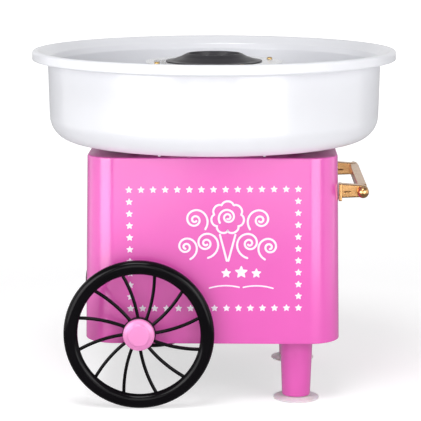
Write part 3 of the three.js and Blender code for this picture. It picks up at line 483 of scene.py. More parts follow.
FINISH_LIST = [
    plastic(
        "pink_plastic", PINK, shade_of(PINK, 0.98), 0.34,
        coat=0.9, coat_roughness=0.18, specular=0.3, depth=0.0015,
    ),
    plastic("pale_pink_plastic", PALE_PINK, shade_of(PALE_PINK, 0.96), 0.35),
    plastic("white_plastic", WHITE, shade_of(WHITE, 0.985), 0.36, coat=0.3, depth=0.002),
    plastic("white_nylon", (0.8, 0.79, 0.75), (0.74, 0.73, 0.69), 0.55, depth=0.02),
    plastic("rocker_plastic", (0.85, 0.85, 0.84), (0.8, 0.8, 0.8), 0.25),
    plastic("black_plastic", BLACK, shade_of(BLACK, 0.7), 0.12, specular=0.08),
    plastic(
        "black_phenolic", (0.03, 0.028, 0.034), (0.022, 0.02, 0.025), 0.36,
        specular=0.25, grain=0.5, depth=0.01,
    ),
    plastic("black_housing", (0.02, 0.02, 0.022), (0.013, 0.013, 0.015), 0.4, depth=0.012),
    plastic("grey_plastic", (0.1, 0.1, 0.11), (0.08, 0.08, 0.088), 0.5, depth=0.02),
    silicone(),
    metal("gold_plate", GOLD, (0.46, 0.25, 0.1), 0.2, brushed_along_x, 0.004),
    metal("brass", (0.8, 0.6, 0.27), (0.62, 0.42, 0.17), 0.2, cast_marks, 0.006),
    metal("aluminium", (0.8, 0.8, 0.83), (0.72, 0.72, 0.75), 0.2, turned_marks, 0.006),
    # heated_metal is near-black; on the spinner dish this colour is painted shade, standing in for the
    # shadow that falls on the dish under the disc
    metal("heated_metal", (0.07, 0.06, 0.068), (0.04, 0.034, 0.04), 0.4, turned_marks, 0.006),
    metal("turret_metal", (0.7, 0.7, 0.72), (0.58, 0.58, 0.6), 0.4, brushed_along_z, 0.006),
    metal("steel", (0.62, 0.62, 0.64), (0.48, 0.48, 0.5), 0.2, cast_marks, 0.006),
    metal("bronze", (0.52, 0.33, 0.17), (0.36, 0.21, 0.1), 0.5, cast_marks, 0.02),
    ceramic(),
    plastic("ferrite", (0.06, 0.06, 0.064), (0.035, 0.035, 0.038), 0.7, grain=0.6, depth=0.05),
    metal("copper", (0.74, 0.33, 0.17), (0.5, 0.18, 0.08), 0.35, brushed_along_z, 0.03),
    heating_wire(),
    plastic("rubber", (0.024, 0.024, 0.025), (0.014, 0.014, 0.015), 0.75, grain=0.8, depth=0.03),
    plastic("wire_insulation", (0.5, 0.03, 0.03), (0.36, 0.02, 0.02), 0.4),
]
# Blender adds a number, such as .001, to a name that one of the frame's own materials has
FINISHES = {material.name.split(".")[0]: material for material in FINISH_LIST}
PRINT_INK = print_ink()


# ---- putting pieces in the frame
def settle(obj, name, material):
    """Puts a piece into metres, with its material and smooth shading up to its sharp edges."""
    obj.name = name
    obj.data.name = name
    obj.data.transform(Matrix.Scale(MM, 4))
    obj.data.materials.clear()
    obj.data.materials.append(material)
    obj.data.shade_smooth()
    obj.data.set_sharp_from_angle(angle=math.radians(35))
    normals = obj.modifiers.new("normals", "WEIGHTED_NORMAL")
    normals.keep_sharp = True
    return apply_modifiers(obj)


def stand_in(obj, node):
    """Shows a finely made piece instead of the CAD node that it stands for."""
    settle(obj, node + "_fine", FINISHES[NODE_SLOT[node]])
    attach(obj, NODE_BODY[node])
    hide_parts(node)
    return obj


def trim(obj, name, body, material):
    """Adds a small piece that has no CAD node of its own."""
    settle(obj, name, material)
    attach(obj, body)
    return obj


# ---- bowl
BOWL_HOLE = 57
BOWL_WALL = 2.4
BOWL_COLLAR_TOP = 200.2
BOWL_SIDE = 124.4  # outer radius where the side starts to rise
RIM_LIP = 2.4  # thickness of the lip that hangs from the rim
RIM_LIP_BOTTOM = 248.6
LUG_X = 38
LUG_HALF_WIDTH = 0.9
LUG_NEAR, LUG_FAR = 77.9, 79.7  # distances from the plane y = 0


def make_bowl():
    low = BODY_TOP + 0.5  # the floor's underside
    outline = rounded([
        (BOWL_HOLE, low, 0.5),
        (BOWL_SIDE, low, 18),
        (BOWL_SIDE + 1.4, 247.3, 2.2),
        (RIM_RADIUS - RIM_LIP, 253, 1.6),
        (RIM_RADIUS - RIM_LIP, RIM_LIP_BOTTOM, 0.5),
        (RIM_RADIUS, RIM_LIP_BOTTOM, 1.0),
        (RIM_RADIUS, RIM_TOP, 2.6),
        (RIM_RADIUS - 4.2, RIM_TOP, 3.0),
        (125.2, 250.2, 2.4),
        (123.4, 246, 2),
        (BOWL_SIDE - BOWL_WALL, low + BOWL_WALL, 15.6),
        (BOWL_HOLE + BOWL_WALL, low + BOWL_WALL, 1.6),
        (BOWL_HOLE + BOWL_WALL, BOWL_COLLAR_TOP, 0.9),
        (BOWL_HOLE, BOWL_COLLAR_TOP, 0.9),
    ])
    stand_in(raw(turned(outline, 2 * MEDIUM)), "bowl")
    lugs = []
    for x in (-LUG_X, LUG_X):
        for side in (FRONT, REAR):
            near, far = sorted((side * LUG_NEAR, side * LUG_FAR))
            lugs.append(block(
                (x - LUG_HALF_WIDTH, near, BOWL_LOW.z),
                (x + LUG_HALF_WIDTH, far, low + 1),
            ))
    lugs = soften(raw(together(lugs)), 0.4)
    trim(lugs, "bowl_lugs", NODE_BODY["bowl"], FINISHES["white_plastic"])


# ---- body shell
TOP_HOLE = 44
AIR_SLOTS = 6
AIR_SLOT_PITCH = 9
AIR_SLOT_BOTTOM = 86
AIR_SLOT_HEIGHT = 3.2
AIR_SLOT_LEFT, AIR_SLOT_RIGHT = -38, 10
REAR_CUT = (70, 90)  # a stretch of Y that takes in the rear wall
BEZEL_OVERLAP = 0.9  # how far the switch's frame covers the edge of its hole


def body_lean(z):
    return BODY_DRAFT * (z - BODY_BOTTOM) / (BODY_EDGE - BODY_BOTTOM)


def body_level(inset, z):
    """A level of the body at a height, drawn inwards by the inset."""
    radius = BODY_CORNER - 0.5 * inset
    half_x = BODY_HALF_X - inset
    half_y = BODY_HALF_Y - inset
    steps = 14
    points = []
    for quarter, (side_x, side_y) in enumerate([(1, 1), (-1, 1), (-1, -1), (1, -1)]):
        centre = side_x * (half_x - radius), side_y * (half_y - radius)
        points.extend(arc(*centre, radius, 90 * quarter, 90 * quarter + 90, steps))
    return [(x, y, z) for x, y in points]


def make_body_shell():
    profile = rounded([
        (4, BODY_BOTTOM, 0),
        (0, BODY_BOTTOM, 0.9),
        (BODY_DRAFT, BODY_EDGE, 1.0),
        (BODY_DRAFT + 4, BODY_EDGE, 0),
    ], closed=False)
    shell = raw(loft([body_level(inset, z) for inset, z in profile]))
    ledge_ceiling = BODY_EDGE - SHELL_WALL
    ceiling = BODY_TOP - SHELL_WALL
    seat = rounded([
        (0, ledge_ceiling, 0), (SEAT_RADIUS, ledge_ceiling, 0),
        (SEAT_RADIUS, BODY_TOP, 0.8), (0, BODY_TOP, 0),
    ])
    shell = join(shell, raw(turned(seat)))
    hollow = loft([
        body_level(SHELL_WALL, BODY_BOTTOM - 1),
        body_level(SHELL_WALL + BODY_DRAFT, ledge_ceiling),
    ])
    shell = cut(shell, hollow)
    shell = cut(shell, rod(SEAT_RADIUS - SHELL_WALL, ledge_ceiling - 1, ceiling, ROUND))
    round_end = 1.55
    slot_outline = box_outline(AIR_SLOT_LEFT, 0, AIR_SLOT_RIGHT, AIR_SLOT_HEIGHT, round_end)
    wall_near, wall_far = REAR_CUT
    slot_bar = prism(slot_outline, -wall_far, -wall_near)
    slots = [
        moved(slot_bar, shift(z=AIR_SLOT_BOTTOM + AIR_SLOT_PITCH * k), spin(90, "X"))
        for k in range(AIR_SLOTS)
    ]
    switch_hole = block(
        (SWITCH_LOW.x + BEZEL_OVERLAP, wall_near, SWITCH_LOW.z + BEZEL_OVERLAP),
        (SWITCH_HIGH.x - BEZEL_OVERLAP, wall_far, SWITCH_HIGH.z - BEZEL_OVERLAP),
    )
    gland_hole = moved(rod(4.8, wall_near, wall_far), shift(GLAND_X, 0, GLAND_Z), spin(-90, "X"))
    axle_holes = [
        moved(rod(5.3, 74, 86), shift(WHEEL_X, 0, AXLE_Z), spin(-90 * side, "X"))
        for side in (FRONT, REAR)
    ]
    top_hole = rod(TOP_HOLE, ceiling - 2, BODY_TOP + 2, MEDIUM)
    shell = cut(shell, *slots, switch_hole, gland_hole, *axle_holes, top_hole)
    stand_in(shell, "body_shell")


# ---- printed front
def front_y(z):
    return -(BODY_HALF_Y - body_lean(z))


def on_front(shape):
    """Lays a shape drawn in (x, z, height above the surface) onto the sloping front."""
    verts, faces = shape
    return [Vector((v.x, front_y(v.y) - v.z, v.y)) for v in verts], faces


# Heights of the ink's back and face above the body: the back is sunk in, so that no gap shows
INK_BOTTOM = -0.15
INK_TOP = 0.09
STAR_WAIST = 0.47  # inner radius of a star, as a share of its radius
STAR_TIP = 0.09  # rounding of its tips, as a share of its radius


def star(x, z, radius):
    corners = []
    for k in range(5):
        corners.append((*polar(radius, 90 + 72 * k), STAR_TIP * radius))
        corners.append((*polar(radius * STAR_WAIST, 126 + 72 * k), 0))
    outline = [(x + point[0], z + point[1]) for point in rounded(corners)]
    return prism(outline, INK_BOTTOM, INK_TOP)


def bend(x, z, heading, length, turn):
    """Points along a line that turns by the same angle, in degrees, in each millimetre."""
    steps = int(length / 0.5)
    points = [Vector((x, z))]
    for _ in range(steps):
        heading += turn * length / steps
        points.append(points[-1] + Vector(polar(length / steps, heading)))
    return points


def stroke(path, width):
    """A printed line along a path, with round ends."""
    half = width / 2
    steps = 5
    thinnest = 0.02
    start = (path[0] - path[1]).normalized()
    end = (path[-1] - path[-2]).normalized()
    ends = [math.radians(90 * k / steps) for k in range(steps + 1)]
    head = [(path[0] + start * half * math.cos(a), half * math.sin(a)) for a in ends]
    tail = [(path[-1] + end * half * math.cos(a), half * math.sin(a)) for a in reversed(ends)]
    middle = [(point, half) for point in path[1:-1]]
    stations = head + middle + tail
    levels = []
    for k, (point, reach) in enumerate(stations):
        ahead = stations[min(k + 1, len(stations) - 1)][0]
        behind = stations[max(k - 1, 0)][0]
        along = (ahead - behind).normalized()
        side = Vector((-along.y, along.x)) * max(reach, thinnest)
        right, left = point - side, point + side
        levels.append([
            (*right, INK_BOTTOM), (*left, INK_BOTTOM), (*left, INK_TOP), (*right, INK_TOP),
        ])
    return loft(levels)


def mirrored(path, x):
    """The path on the other side of an upright line at x."""
    return [Vector((2 * x - p.x, p.y)) for p in path]


def make_star_border():
    """A rectangle of stars, printed half a degree askew."""
    columns, rows = 15, 11
    pitch, radius = 8.77, 3.0
    middle_x, low = 1.6, 72.6
    tilt = 0.5
    left = middle_x - (columns - 1) / 2 * pitch
    stars = [
        star(left + pitch * i, low + pitch * j, radius)
        for i in range(columns)
        for j in range(rows)
        if i in (0, columns - 1) or j in (0, rows - 1)
    ]
    middle_z = low + (rows - 1) / 2 * pitch
    askew = moved(together(stars), shift(middle_x, middle_z), spin(tilt), shift(-middle_x, -middle_z))
    trim(raw(on_front(askew)), "star_border", "base", PRINT_INK)


def curl(x, z, outer, end, turns):
    """A spiral about (x, z) that opens out to a radius and ends at end degrees."""
    inner = 1.4
    steps = int(turns * 30)
    path = []
    for k in range(steps + 1):
        share = k / steps
        reach = inner * (outer / inner) ** share
        path.append(Vector((x, z)) + Vector(polar(reach, end - 360 * turns * (1 - share))))
    return path


def make_ornament():
    """A puff of floss on its cone between curls."""
    x, z = 11.5, 129.5
    puff_z = z + 10.3
    lobes, hollow_reach, lobe_rise = 7, 9.4, 2.6
    puff = []
    for degrees in range(0, 361, 3):
        bump = abs(math.sin(math.radians(degrees * lobes / 2)))
        reach = hollow_reach + lobe_rise * math.sqrt(bump)
        puff.append(Vector((x, puff_z)) + Vector(polar(reach, degrees - 90)))
    curls = [
        curl(x + 23.8, z + 8.6, 10.2, 222, 2.0),
        curl(x + 15.8, z - 8.6, 11.0, 262, 2.1),
        curl(x + 30.4, z - 11.4, 9.6, 250, 1.9),
    ]
    cone = [Vector((x + 5.6, z - 2.4)), Vector((x + 0.6, z - 21.5))]
    lines = [puff, curl(x + 0.2, puff_z + 0.3, 7.2, 215, 1.9)]
    for path in [cone, *curls]:
        lines += [path, mirrored(path, x)]
    line_width = 1.5
    strokes = [stroke(path, line_width) for path in lines]
    trim(raw(on_front(together(strokes))), "front_ornament", "base", PRINT_INK)


def make_small_ornament():
    """Three stars over a thin flourish."""
    x, z = 21.5, 99.5
    shapes = [star(x, z, 5.4), star(x - 11, z - 0.8, 4.2), star(x + 11, z - 0.8, 4.2)]
    wave = bend(x + 1.5, z - 11.2, 14, 22, -1.4)
    line_width = 1.0
    shapes += [stroke(path, line_width) for path in (wave, mirrored(wave, x))]
    trim(raw(on_front(together(shapes))), "small_ornament", "base", PRINT_INK)


# ---- legs and suction cups
LEG_FOOT_RADIUS = 10.5
LEG_TOP_RADIUS = 12.1
LEG_TOP = BODY_BOTTOM - 0.2
LEG_BORE = 6.7  # takes the cup's stem
LEG_BORE_TOP = 11
SPIGOT_RADIUS = 7.9  # the leg's upper end, which plugs into the body
CUP_STEM_RADIUS = 6.3
CUP_FOOT_INNER = 12.5  # inner radius of the flat ring that the cup stands on


def make_legs():
    leg = rounded([
        (0, LEG_BORE_TOP, 0), (LEG_BORE, LEG_BORE_TOP, 0),
        (LEG_BORE, LEG_LOW.z, 0), (LEG_FOOT_RADIUS, LEG_LOW.z, 0.8),
        (LEG_TOP_RADIUS, LEG_TOP, 0.3), (SPIGOT_RADIUS, LEG_TOP, 0),
        (SPIGOT_RADIUS, LEG_HIGH.z, 0.5), (0, LEG_HIGH.z, 0),
    ])
    cup = rounded([
        (0, 1.6, 0),
        (9, 1.1, 3),
        (CUP_FOOT_INNER, 0, 0.5),
        (CUP_RADIUS, 0, 0.45),
        (CUP_RADIUS, 1.1, 0.45),
        (12, 1.9, 3),
        (9, 2.7, 0.8),
        (CUP_STEM_RADIUS, 2.7, 0.3),
        (CUP_STEM_RADIUS, CUP_HIGH.z, 0.5),
        (0, CUP_HIGH.z, 0),
    ])
    for name, side in (("front", FRONT), ("rear", REAR)):
        place = shift(LEG_X, side * LEG_Y)
        stand_in(raw(moved(turned(leg, MEDIUM), place)), name + "_leg")
        stand_in(raw(moved(turned(cup, MEDIUM), place)), name + "_suction_cup")


# ---- wheels
# A wheel is drawn lying about Z with its outside up, and its middle at z = 0.
TYRE_DEPTH = 10.3
TYRE_CORNER = 4.2
SPOKES = 12
FIRST_SPOKE = 15.6  # degrees
SPOKE_HALF_WIDTH = 1.2
SPOKE_BACK, SPOKE_FRONT = -4, -1
HUB_RADIUS = 12.2
HUB_BACK, HUB_FRONT = -5, -0.5
BUSH_RADIUS = 5
BUSH_COLLAR = 7.5


def wheel_place(side):
    """Stands up a wheel on its side of the body."""
    turn = spin(0 if side == FRONT else 180)
    return shift(WHEEL_X, side * WHEEL_Y, AXLE_Z) @ turn @ spin(90, "X")


def spoke(angle):
    """A bar along a bowed curve from inside the hub to inside the tyre."""
    start, bow, end = Vector((10.7, -2.3)), Vector((28.5, -4.6)), Vector((46.3, 0))
    steps = 16
    path = []
    for k in range(steps + 1):
        t = k / steps
        path.append(start * (1 - t) ** 2 + bow * 2 * t * (1 - t) + end * t * t)
    section = rounded([
        (SPOKE_HALF_WIDTH, SPOKE_BACK, 0.8), (SPOKE_HALF_WIDTH, SPOKE_FRONT, 1.1),
        (-SPOKE_HALF_WIDTH, SPOKE_FRONT, 1.1), (-SPOKE_HALF_WIDTH, SPOKE_BACK, 0.8),
    ])
    return moved(swept(path, section), spin(angle))


def make_wheel(side, node):
    inner = WHEEL_RADIUS - TYRE_DEPTH
    tyre = box_outline(inner, -TYRE_HALF_WIDTH, WHEEL_RADIUS, TYRE_HALF_WIDTH, TYRE_CORNER)
    hub = rounded([
        (AXLE_BORE, HUB_BACK, 0.3), (HUB_RADIUS, HUB_BACK, 0.6),
        (HUB_RADIUS, HUB_FRONT, 1.0), (AXLE_BORE, HUB_FRONT, 0.3),
    ])
    wheel = raw(turned(tyre, ROUND))
    spokes = [spoke(FIRST_SPOKE + 360 * k / SPOKES) for k in range(SPOKES)]
    wheel = join(wheel, raw(together(spokes)))
    wheel = join(wheel, raw(turned(hub, MEDIUM)))
    wheel.data.transform(wheel_place(side))
    stand_in(wheel, node)


def make_hub_cap(side, node):
    back = -0.2
    outline = rounded([
        (0, back, 0), (CAP_RADIUS, back, 0.3),
        (CAP_RADIUS, back + 3.3, 1.4), (8.6, back + 4.6, 2.0),
        (7.4, back + 5.6, 0.8), (0, back + 5.8, 0),
    ])
    stand_in(raw(moved(turned(outline, MEDIUM), wheel_place(side))), node)


def make_bush(side, node):
    """A bush in the body's wall, drawn about Z with its collar up and outside the wall."""
    inner_end, collar_back, outer_end = -6, 2, 3.5
    outline = rounded([
        (AXLE_BORE, inner_end, 0), (BUSH_RADIUS, inner_end, 0.3),
        (BUSH_RADIUS, collar_back, 0.3), (BUSH_COLLAR, collar_back, 0.3),
        (BUSH_COLLAR, outer_end, 0.5), (AXLE_BORE, outer_end, 0.3),
    ])
    wall_y = front_y(AXLE_Z) + 1.6
    place = shift(WHEEL_X, -side * wall_y, AXLE_Z) @ spin(-90 * side, "X")
    stand_in(raw(moved(turned(outline, SMALL), place)), node)


def make_axle():
    low, high = span("wheel_axle")
    outline = bar_outline(AXLE_RADIUS, low.y, high.y, 0.5, 0.5)
    place = shift(WHEEL_X, 0, AXLE_Z) @ spin(-90, "X")
    stand_in(raw(moved(turned(outline, SMALL), place)), "wheel_axle")


def make_wheels():
    for name, side in (("front", FRONT), ("rear", REAR)):
        make_wheel(side, name + "_wheel")
        make_hub_cap(side, name + "_hub_cap")
        make_bush(side, name + "_axle_bush")
    make_axle()


# ---- push handle
BRACKET_HALF_WIDTH = 4
FLANGE_HALF_WIDTH = 5
FLANGE_DEPTH = 2.5
KNOB_RADIUS = 4.3
KNOB_SEAT = 3.4  # from the middle of the ball to the flat face that meets the bracket


def make_bracket(side, node):
    """A square flange with a round-ended arm, which has a groove along each side."""
    flange_face = ARM_LOW.x + FLANGE_DEPTH
    low_root, end_radius = 151.2, 4.4
    arm_outline = rounded([
        (flange_face - 1, low_root, 0),
        *[(*p, 0) for p in arc(BAR_X, HANDLE_Z, end_radius, -90, 90, 20)],
        (flange_face - 1, ARM_HIGH.z, 0),
    ])
    arm = raw(moved(prism(arm_outline, -BRACKET_HALF_WIDTH, BRACKET_HALF_WIDTH), spin(90, "X")))
    arm = soften(arm, 1.1, 4)
    flange = raw(block(
        (ARM_LOW.x, -FLANGE_HALF_WIDTH, ARM_LOW.z),
        (flange_face, FLANGE_HALF_WIDTH, ARM_HIGH.z),
    ))
    bracket = join(soften(flange, 0.7), arm)
    groove_outline = [(0, -0.8), (0.6, 0), (0, 0.8), (-0.4, 0.8), (-0.4, -0.8)]
    groove = prism(groove_outline, flange_face + 1.2, flange_face + 6.5)
    for face in (FRONT, REAR):
        along_arm = shift(0, face * (BRACKET_HALF_WIDTH + 0.05), HANDLE_Z - 0.6) @ spin(90, "Y")
        bracket = cut(bracket, moved(groove, along_arm, spin(-90 * face)))
    bracket.data.transform(shift(y=side * BRACKET_Y))
    stand_in(bracket, node)


def make_knob(side, node):
    outline = [Vector((0, -KNOB_SEAT)), Vector((2.9, -KNOB_SEAT)), Vector((2.9, -KNOB_SEAT + 0.25))]
    outline += arc(0, 0, KNOB_RADIUS, -46, 90, 28)
    centre_y = side * (BRACKET_Y + BRACKET_HALF_WIDTH + GAP + KNOB_SEAT)
    knob = moved(turned(outline, 64), shift(BAR_X, centre_y, HANDLE_Z), spin(-90 * side, "X"))
    stand_in(raw(knob), node)


def make_handle():
    for name, side in (("front", FRONT), ("rear", REAR)):
        make_bracket(side, name + "_handle_bracket")
        make_knob(side, name + "_handle_knob")
    stand_in(soften(raw(block(BAR_LOW, BAR_HIGH)), 1.3, 5), "handle_bar")


# ---- screws
def screw(head_radius, head_height, shank_radius, shank_length):
    """A cross-slotted screw with its head's seat at z = 0."""
    outline = rounded([
        (0, -shank_length, 0),
        (shank_radius, -shank_length, 0.4),
        (shank_radius, 0, 0),
        (head_radius, 0, 0.2),
        (head_radius, head_height * 0.35, 0.5),
        (head_radius * 0.62, head_height, 0.8),
        (0, head_height, 0),
    ])
    body = raw(turned(outline, SMALL))
    long, wide = head_radius * 0.55, head_radius * 0.13
    slot_floor = head_height * 0.55
    first = block((-long, -wide, slot_floor), (long, wide, head_height + 1))
    second = block((-wide, -long, slot_floor), (wide, long, head_height + 1))
    return cut(cut(body, first), second)


def make_screws():
    """Each kind: how many, then the radius and height of the head and of the shank."""
    kinds = {
        "base_screw_": (4, 3, 1.9, 1.2, 14),
        "housing_screw_": (3, 2.6, 1.6, 1.1, 6),
        "disc_screw_": (4, 2.3, 1.1, 0.8, 3),
        "funnel_screw_": (2, 2.9, 3.2, 1.2, 15),
    }
    turn_from_last = 29  # degrees, so that their slots don't line up
    for prefix, (count, head_radius, head_height, shank_radius, shank_length) in kinds.items():
        for k in range(count):
            node = f"{prefix}{k + 1}"
            low, high = span(node)
            part = screw(head_radius, head_height, shank_radius, shank_length)
            x, y = (low.x + high.x) / 2, (low.y + high.y) / 2
            if prefix == "base_screw_":
                part.data.transform(shift(x, y, low.z + head_height) @ spin(180, "X"))
            else:
                part.data.transform(shift(x, y, high.z - head_height) @ spin(turn_from_last * k))
            stand_in(part, node)


# ---- heater turret
def make_turret():
    """A drum with a flange below, a shelf for the heater and a guard round the shaft."""
    radius, wall = 47, 1.2
    flange = 54.5
    seat, top = TURRET_LOW.z, TURRET_HIGH.z
    shelf = 215
    guard, guard_top = 12.5, 227
    screw_circle = 50.8
    outline = rounded([
        (radius - wall, seat, 1.4), (flange, seat, 0.4),
        (flange, seat + wall, 0.4), (radius, seat + wall, 1.2),
        (radius, top, 0.5), (radius - wall, top, 0.5),
        (radius - wall, shelf + wall, 1.2), (guard + wall, shelf + wall, 1.5),
        (guard + wall, guard_top, 0.5), (guard, guard_top, 0.5),
        (guard, shelf, 0.5), (radius - wall, shelf, 0.5),
    ])
    turret = raw(turned(outline, 2 * MEDIUM))
    holes = [
        moved(rod(1.6, seat - 1, seat + 3), shift(*polar(screw_circle, angle)))
        for angle in (90, 210, 330)
    ]
    stand_in(cut(turret, *holes), "heater_housing")


def make_ceramic_former():
    """A ring with a groove for the coil round its top."""
    low, top = FORMER_LOW.z, FORMER_HIGH.z
    inner, outer = 18, 42
    groove_inner, groove_outer = 23, 38
    groove_floor = top - 3.4
    outline = rounded([
        (inner, low, 0.4), (outer, low, 0.4),
        (outer, top, 0.7), (groove_outer, top, 0.6),
        (groove_outer, groove_floor, 0.8), (groove_inner, groove_floor, 0.8),
        (groove_inner, top, 0.6), (inner, top, 0.7),
    ])
    stand_in(raw(turned(outline, MEDIUM)), "ceramic_former")


def make_heating_coil():
    """Fine wire wound into a long spring that lies in the former's groove."""
    centre_radius, coil_radius, wire = 30.5, 3.1, 0.5
    turns, steps_a_turn, sides = 62, 14, 7
    first, sweep = 100, 340
    height = FORMER_HIGH.z + 1.2
    verts = []
    total = turns * steps_a_turn
    for k in range(total + 1):
        along = math.radians(first + sweep * k / total)
        round_coil = math.tau * k / steps_a_turn
        outward = Vector((math.cos(along), math.sin(along), 0))
        arm = outward * math.cos(round_coil) + Vector((0, 0, math.sin(round_coil)))
        middle = outward * centre_radius + Vector((0, 0, height)) + arm * coil_radius
        tangent = (
            (Vector((0, 0, math.cos(round_coil))) - outward * math.sin(round_coil)) * coil_radius
            + Vector((-outward.y, outward.x, 0)) * centre_radius * math.radians(sweep) / (math.tau * turns)
        ).normalized()
        across = tangent.cross(arm)
        for side in range(sides):
            angle = math.tau * side / sides
            verts.append(middle + (arm * math.cos(angle) + across * math.sin(angle)) * wire)
    levels = [verts[k * sides:(k + 1) * sides] for k in range(total + 1)]
    stand_in(raw(loft(levels)), "heating_coil")


# ---- shaft and lift-off head
SHAFT_RADIUS = 2.5
PIN_RADIUS = 1
DRIVE_RADIUS = 9.9  # the drive hub's barrel
DISH_SEAT_RADIUS = 15  # the drive hub's collar, which carries the dish
DISH_SEAT_BOTTOM, DISH_SEAT_TOP = 231.8, 234.3
DISH_RADIUS = 51.8
DISH_RIM_BOTTOM = 243.6
DISH_FLOOR_RADIUS = 38.4
DISH_WALL = 1.2
DISC_HOLE = 18.3
DISC_SCREWS = 4
DISC_SCREW_CIRCLE = 47.5
DISC_SCREW_ANGLE = 27
FUNNEL_RADIUS = 36.6
FUNNEL_BARREL = 17.7  # goes down through the disc's hole
FUNNEL_FLOOR = 240.2
FUNNEL_POST = 10  # radius of the post in the middle of the funnel
FUNNEL_POST_TOP = 247.4
FUNNEL_PORTS = 6  # through the barrel's wall, where the sugar runs out


def make_shaft():
    low, high = span("motor_shaft")
    outline = bar_outline(SHAFT_RADIUS, low.z, high.z, 0.5, 0.7)
    stand_in(raw(turned(outline, SMALL)), "motor_shaft")


def make_drive_pin():
    low, high = span("drive_pin")
    outline = bar_outline(PIN_RADIUS, low.x, high.x, 0.3, 0.3)
    height = (low.z + high.z) / 2
    stand_in(raw(moved(turned(outline, SMALL), shift(z=height), spin(90, "Y"))), "drive_pin")


def make_drive_hub():
    """A barrel with a bore for the shaft, a collar for the dish and a slot for the drive pin."""
    bottom, top = HUB_LOW.z, HUB_HIGH.z
    bore, bore_end = SHAFT_RADIUS + 0.4, top - 3
    outline = rounded([
        (0, bore_end, 0), (bore, bore_end, 0),
        (bore, bottom, 0.5), (DRIVE_RADIUS, bottom, 0.6),
        (DRIVE_RADIUS, DISH_SEAT_BOTTOM, 0.6), (DISH_SEAT_RADIUS, DISH_SEAT_BOTTOM, 0.5),
        (DISH_SEAT_RADIUS, DISH_SEAT_TOP, 0.5), (DRIVE_RADIUS, DISH_SEAT_TOP, 0.3),
        (DRIVE_RADIUS, top, 0.5), (0, top, 0),
    ])
    hub = raw(turned(outline, MEDIUM))
    slot_half_length, slot_half_width, slot_depth = 16, PIN_RADIUS + 0.4, 5.4
    pin_slot = block(
        (-slot_half_length, -slot_half_width, bottom - 1),
        (slot_half_length, slot_half_width, bottom + slot_depth),
    )
    stand_in(cut(hub, pin_slot), "drive_hub")


def make_dish():
    """A shallow pressed dish in near-black metal, which is painted shade for the shadow that falls on it
    under the disc.
    """
    floor, top = DISH_LOW.z, DISH_HIGH.z
    hole = DRIVE_RADIUS + GAP
    inner = DISH_RADIUS - DISH_WALL
    outline = rounded([
        (hole, floor, 0.4), (DISH_FLOOR_RADIUS, floor, 2.5),
        (DISH_RADIUS, DISH_RIM_BOTTOM, 0.8), (DISH_RADIUS, top, 0.4),
        (inner, top, 0.4), (inner, DISH_RIM_BOTTOM + 0.6, 0.5),
        (DISH_FLOOR_RADIUS - 0.5, floor + DISH_WALL, 2.5), (hole, floor + DISH_WALL, 0.4),
    ])
    dish = stand_in(raw(turned(outline, ROUND)), "spinner_dish")
    # painted shade: the near-black heated_metal finish stands in for the shadow under the disc
    dish.data.materials[0] = FINISHES["heated_metal"]


def make_sugar_mesh():
    """A woven band: upright wires crossed by hoops."""
    low, high = span("sugar_mesh")
    inner = 41.6
    radius = (high.x + inner) / 2
    bottom, top = low.z + 0.3, high.z - 0.3
    upright_radius, hoop_radius = 0.16, 0.2
    uprights, hoops = 180, 5
    wires = []
    for k in range(uprights):
        place = shift(*polar(radius, 360 * k / uprights))
        wires.append(moved(rod(upright_radius, bottom, top, 6), place))
    for k in range(hoops):
        z = bottom + (top - bottom) * k / (hoops - 1)
        hoop = [Vector(p) + Vector((radius, z)) for p in arc(0, 0, hoop_radius, 0, 300, 5)]
        wires.append(turned(hoop, MEDIUM))
    stand_in(raw(together(wires)), "sugar_mesh")


def perforation_places():
    """Where the disc's fine holes are: rows of them at the left, every second row staggered."""
    rows, holes = 3, 13
    first_row, row_pitch = 38.9, 2.8
    first_angle, angle_pitch = 166, 5
    places = []
    for row in range(rows):
        stagger = row % 2
        for k in range(holes - stagger):
            angle = first_angle + angle_pitch * (k + stagger / 2)
            places.append(shift(*polar(first_row + row_pitch * row, angle)))
    return places


def make_disc():
    """The flat upper disc, with screw holes and fine holes; black plugs sunk just under the top face of
    the fine holes are painted shade for the dark inside of the holes.
    """
    bottom, top = DISC_LOW.z, DISC_HIGH.z
    radius = DISC_HIGH.x
    outline = rounded([
        (DISC_HOLE, bottom, 0.3), (radius, bottom, 0.5),
        (radius, top, 0.5), (DISC_HOLE, top, 0.3),
    ])
    disc = raw(turned(outline, ROUND))
    screw_hole = rod(1.3, bottom - 1, top + 1, 16)
    fine_hole = rod(1.32, bottom - 1, top + 1, 16)
    # painted shade: a black plug sunk just below the top face makes each fine hole look dark inside
    plug = rod(1.28, bottom + 0.2, top - 0.06, 16)
    holes = [
        moved(screw_hole, shift(*polar(DISC_SCREW_CIRCLE, DISC_SCREW_ANGLE + 360 * k / DISC_SCREWS)))
        for k in range(DISC_SCREWS)
    ]
    places = perforation_places()
    holes += [moved(fine_hole, place) for place in places]
    hole_shade_plugs = [moved(plug, place) for place in places]
    stand_in(cut(disc, *holes), "spinner_disc")
    # the plugs, in the black_housing finish, are painted shade inside the fine holes
    sugar = raw(together(hole_shade_plugs))
    trim(sugar, "hole_shade_plugs", NODE_BODY["spinner_disc"], FINISHES["black_housing"])


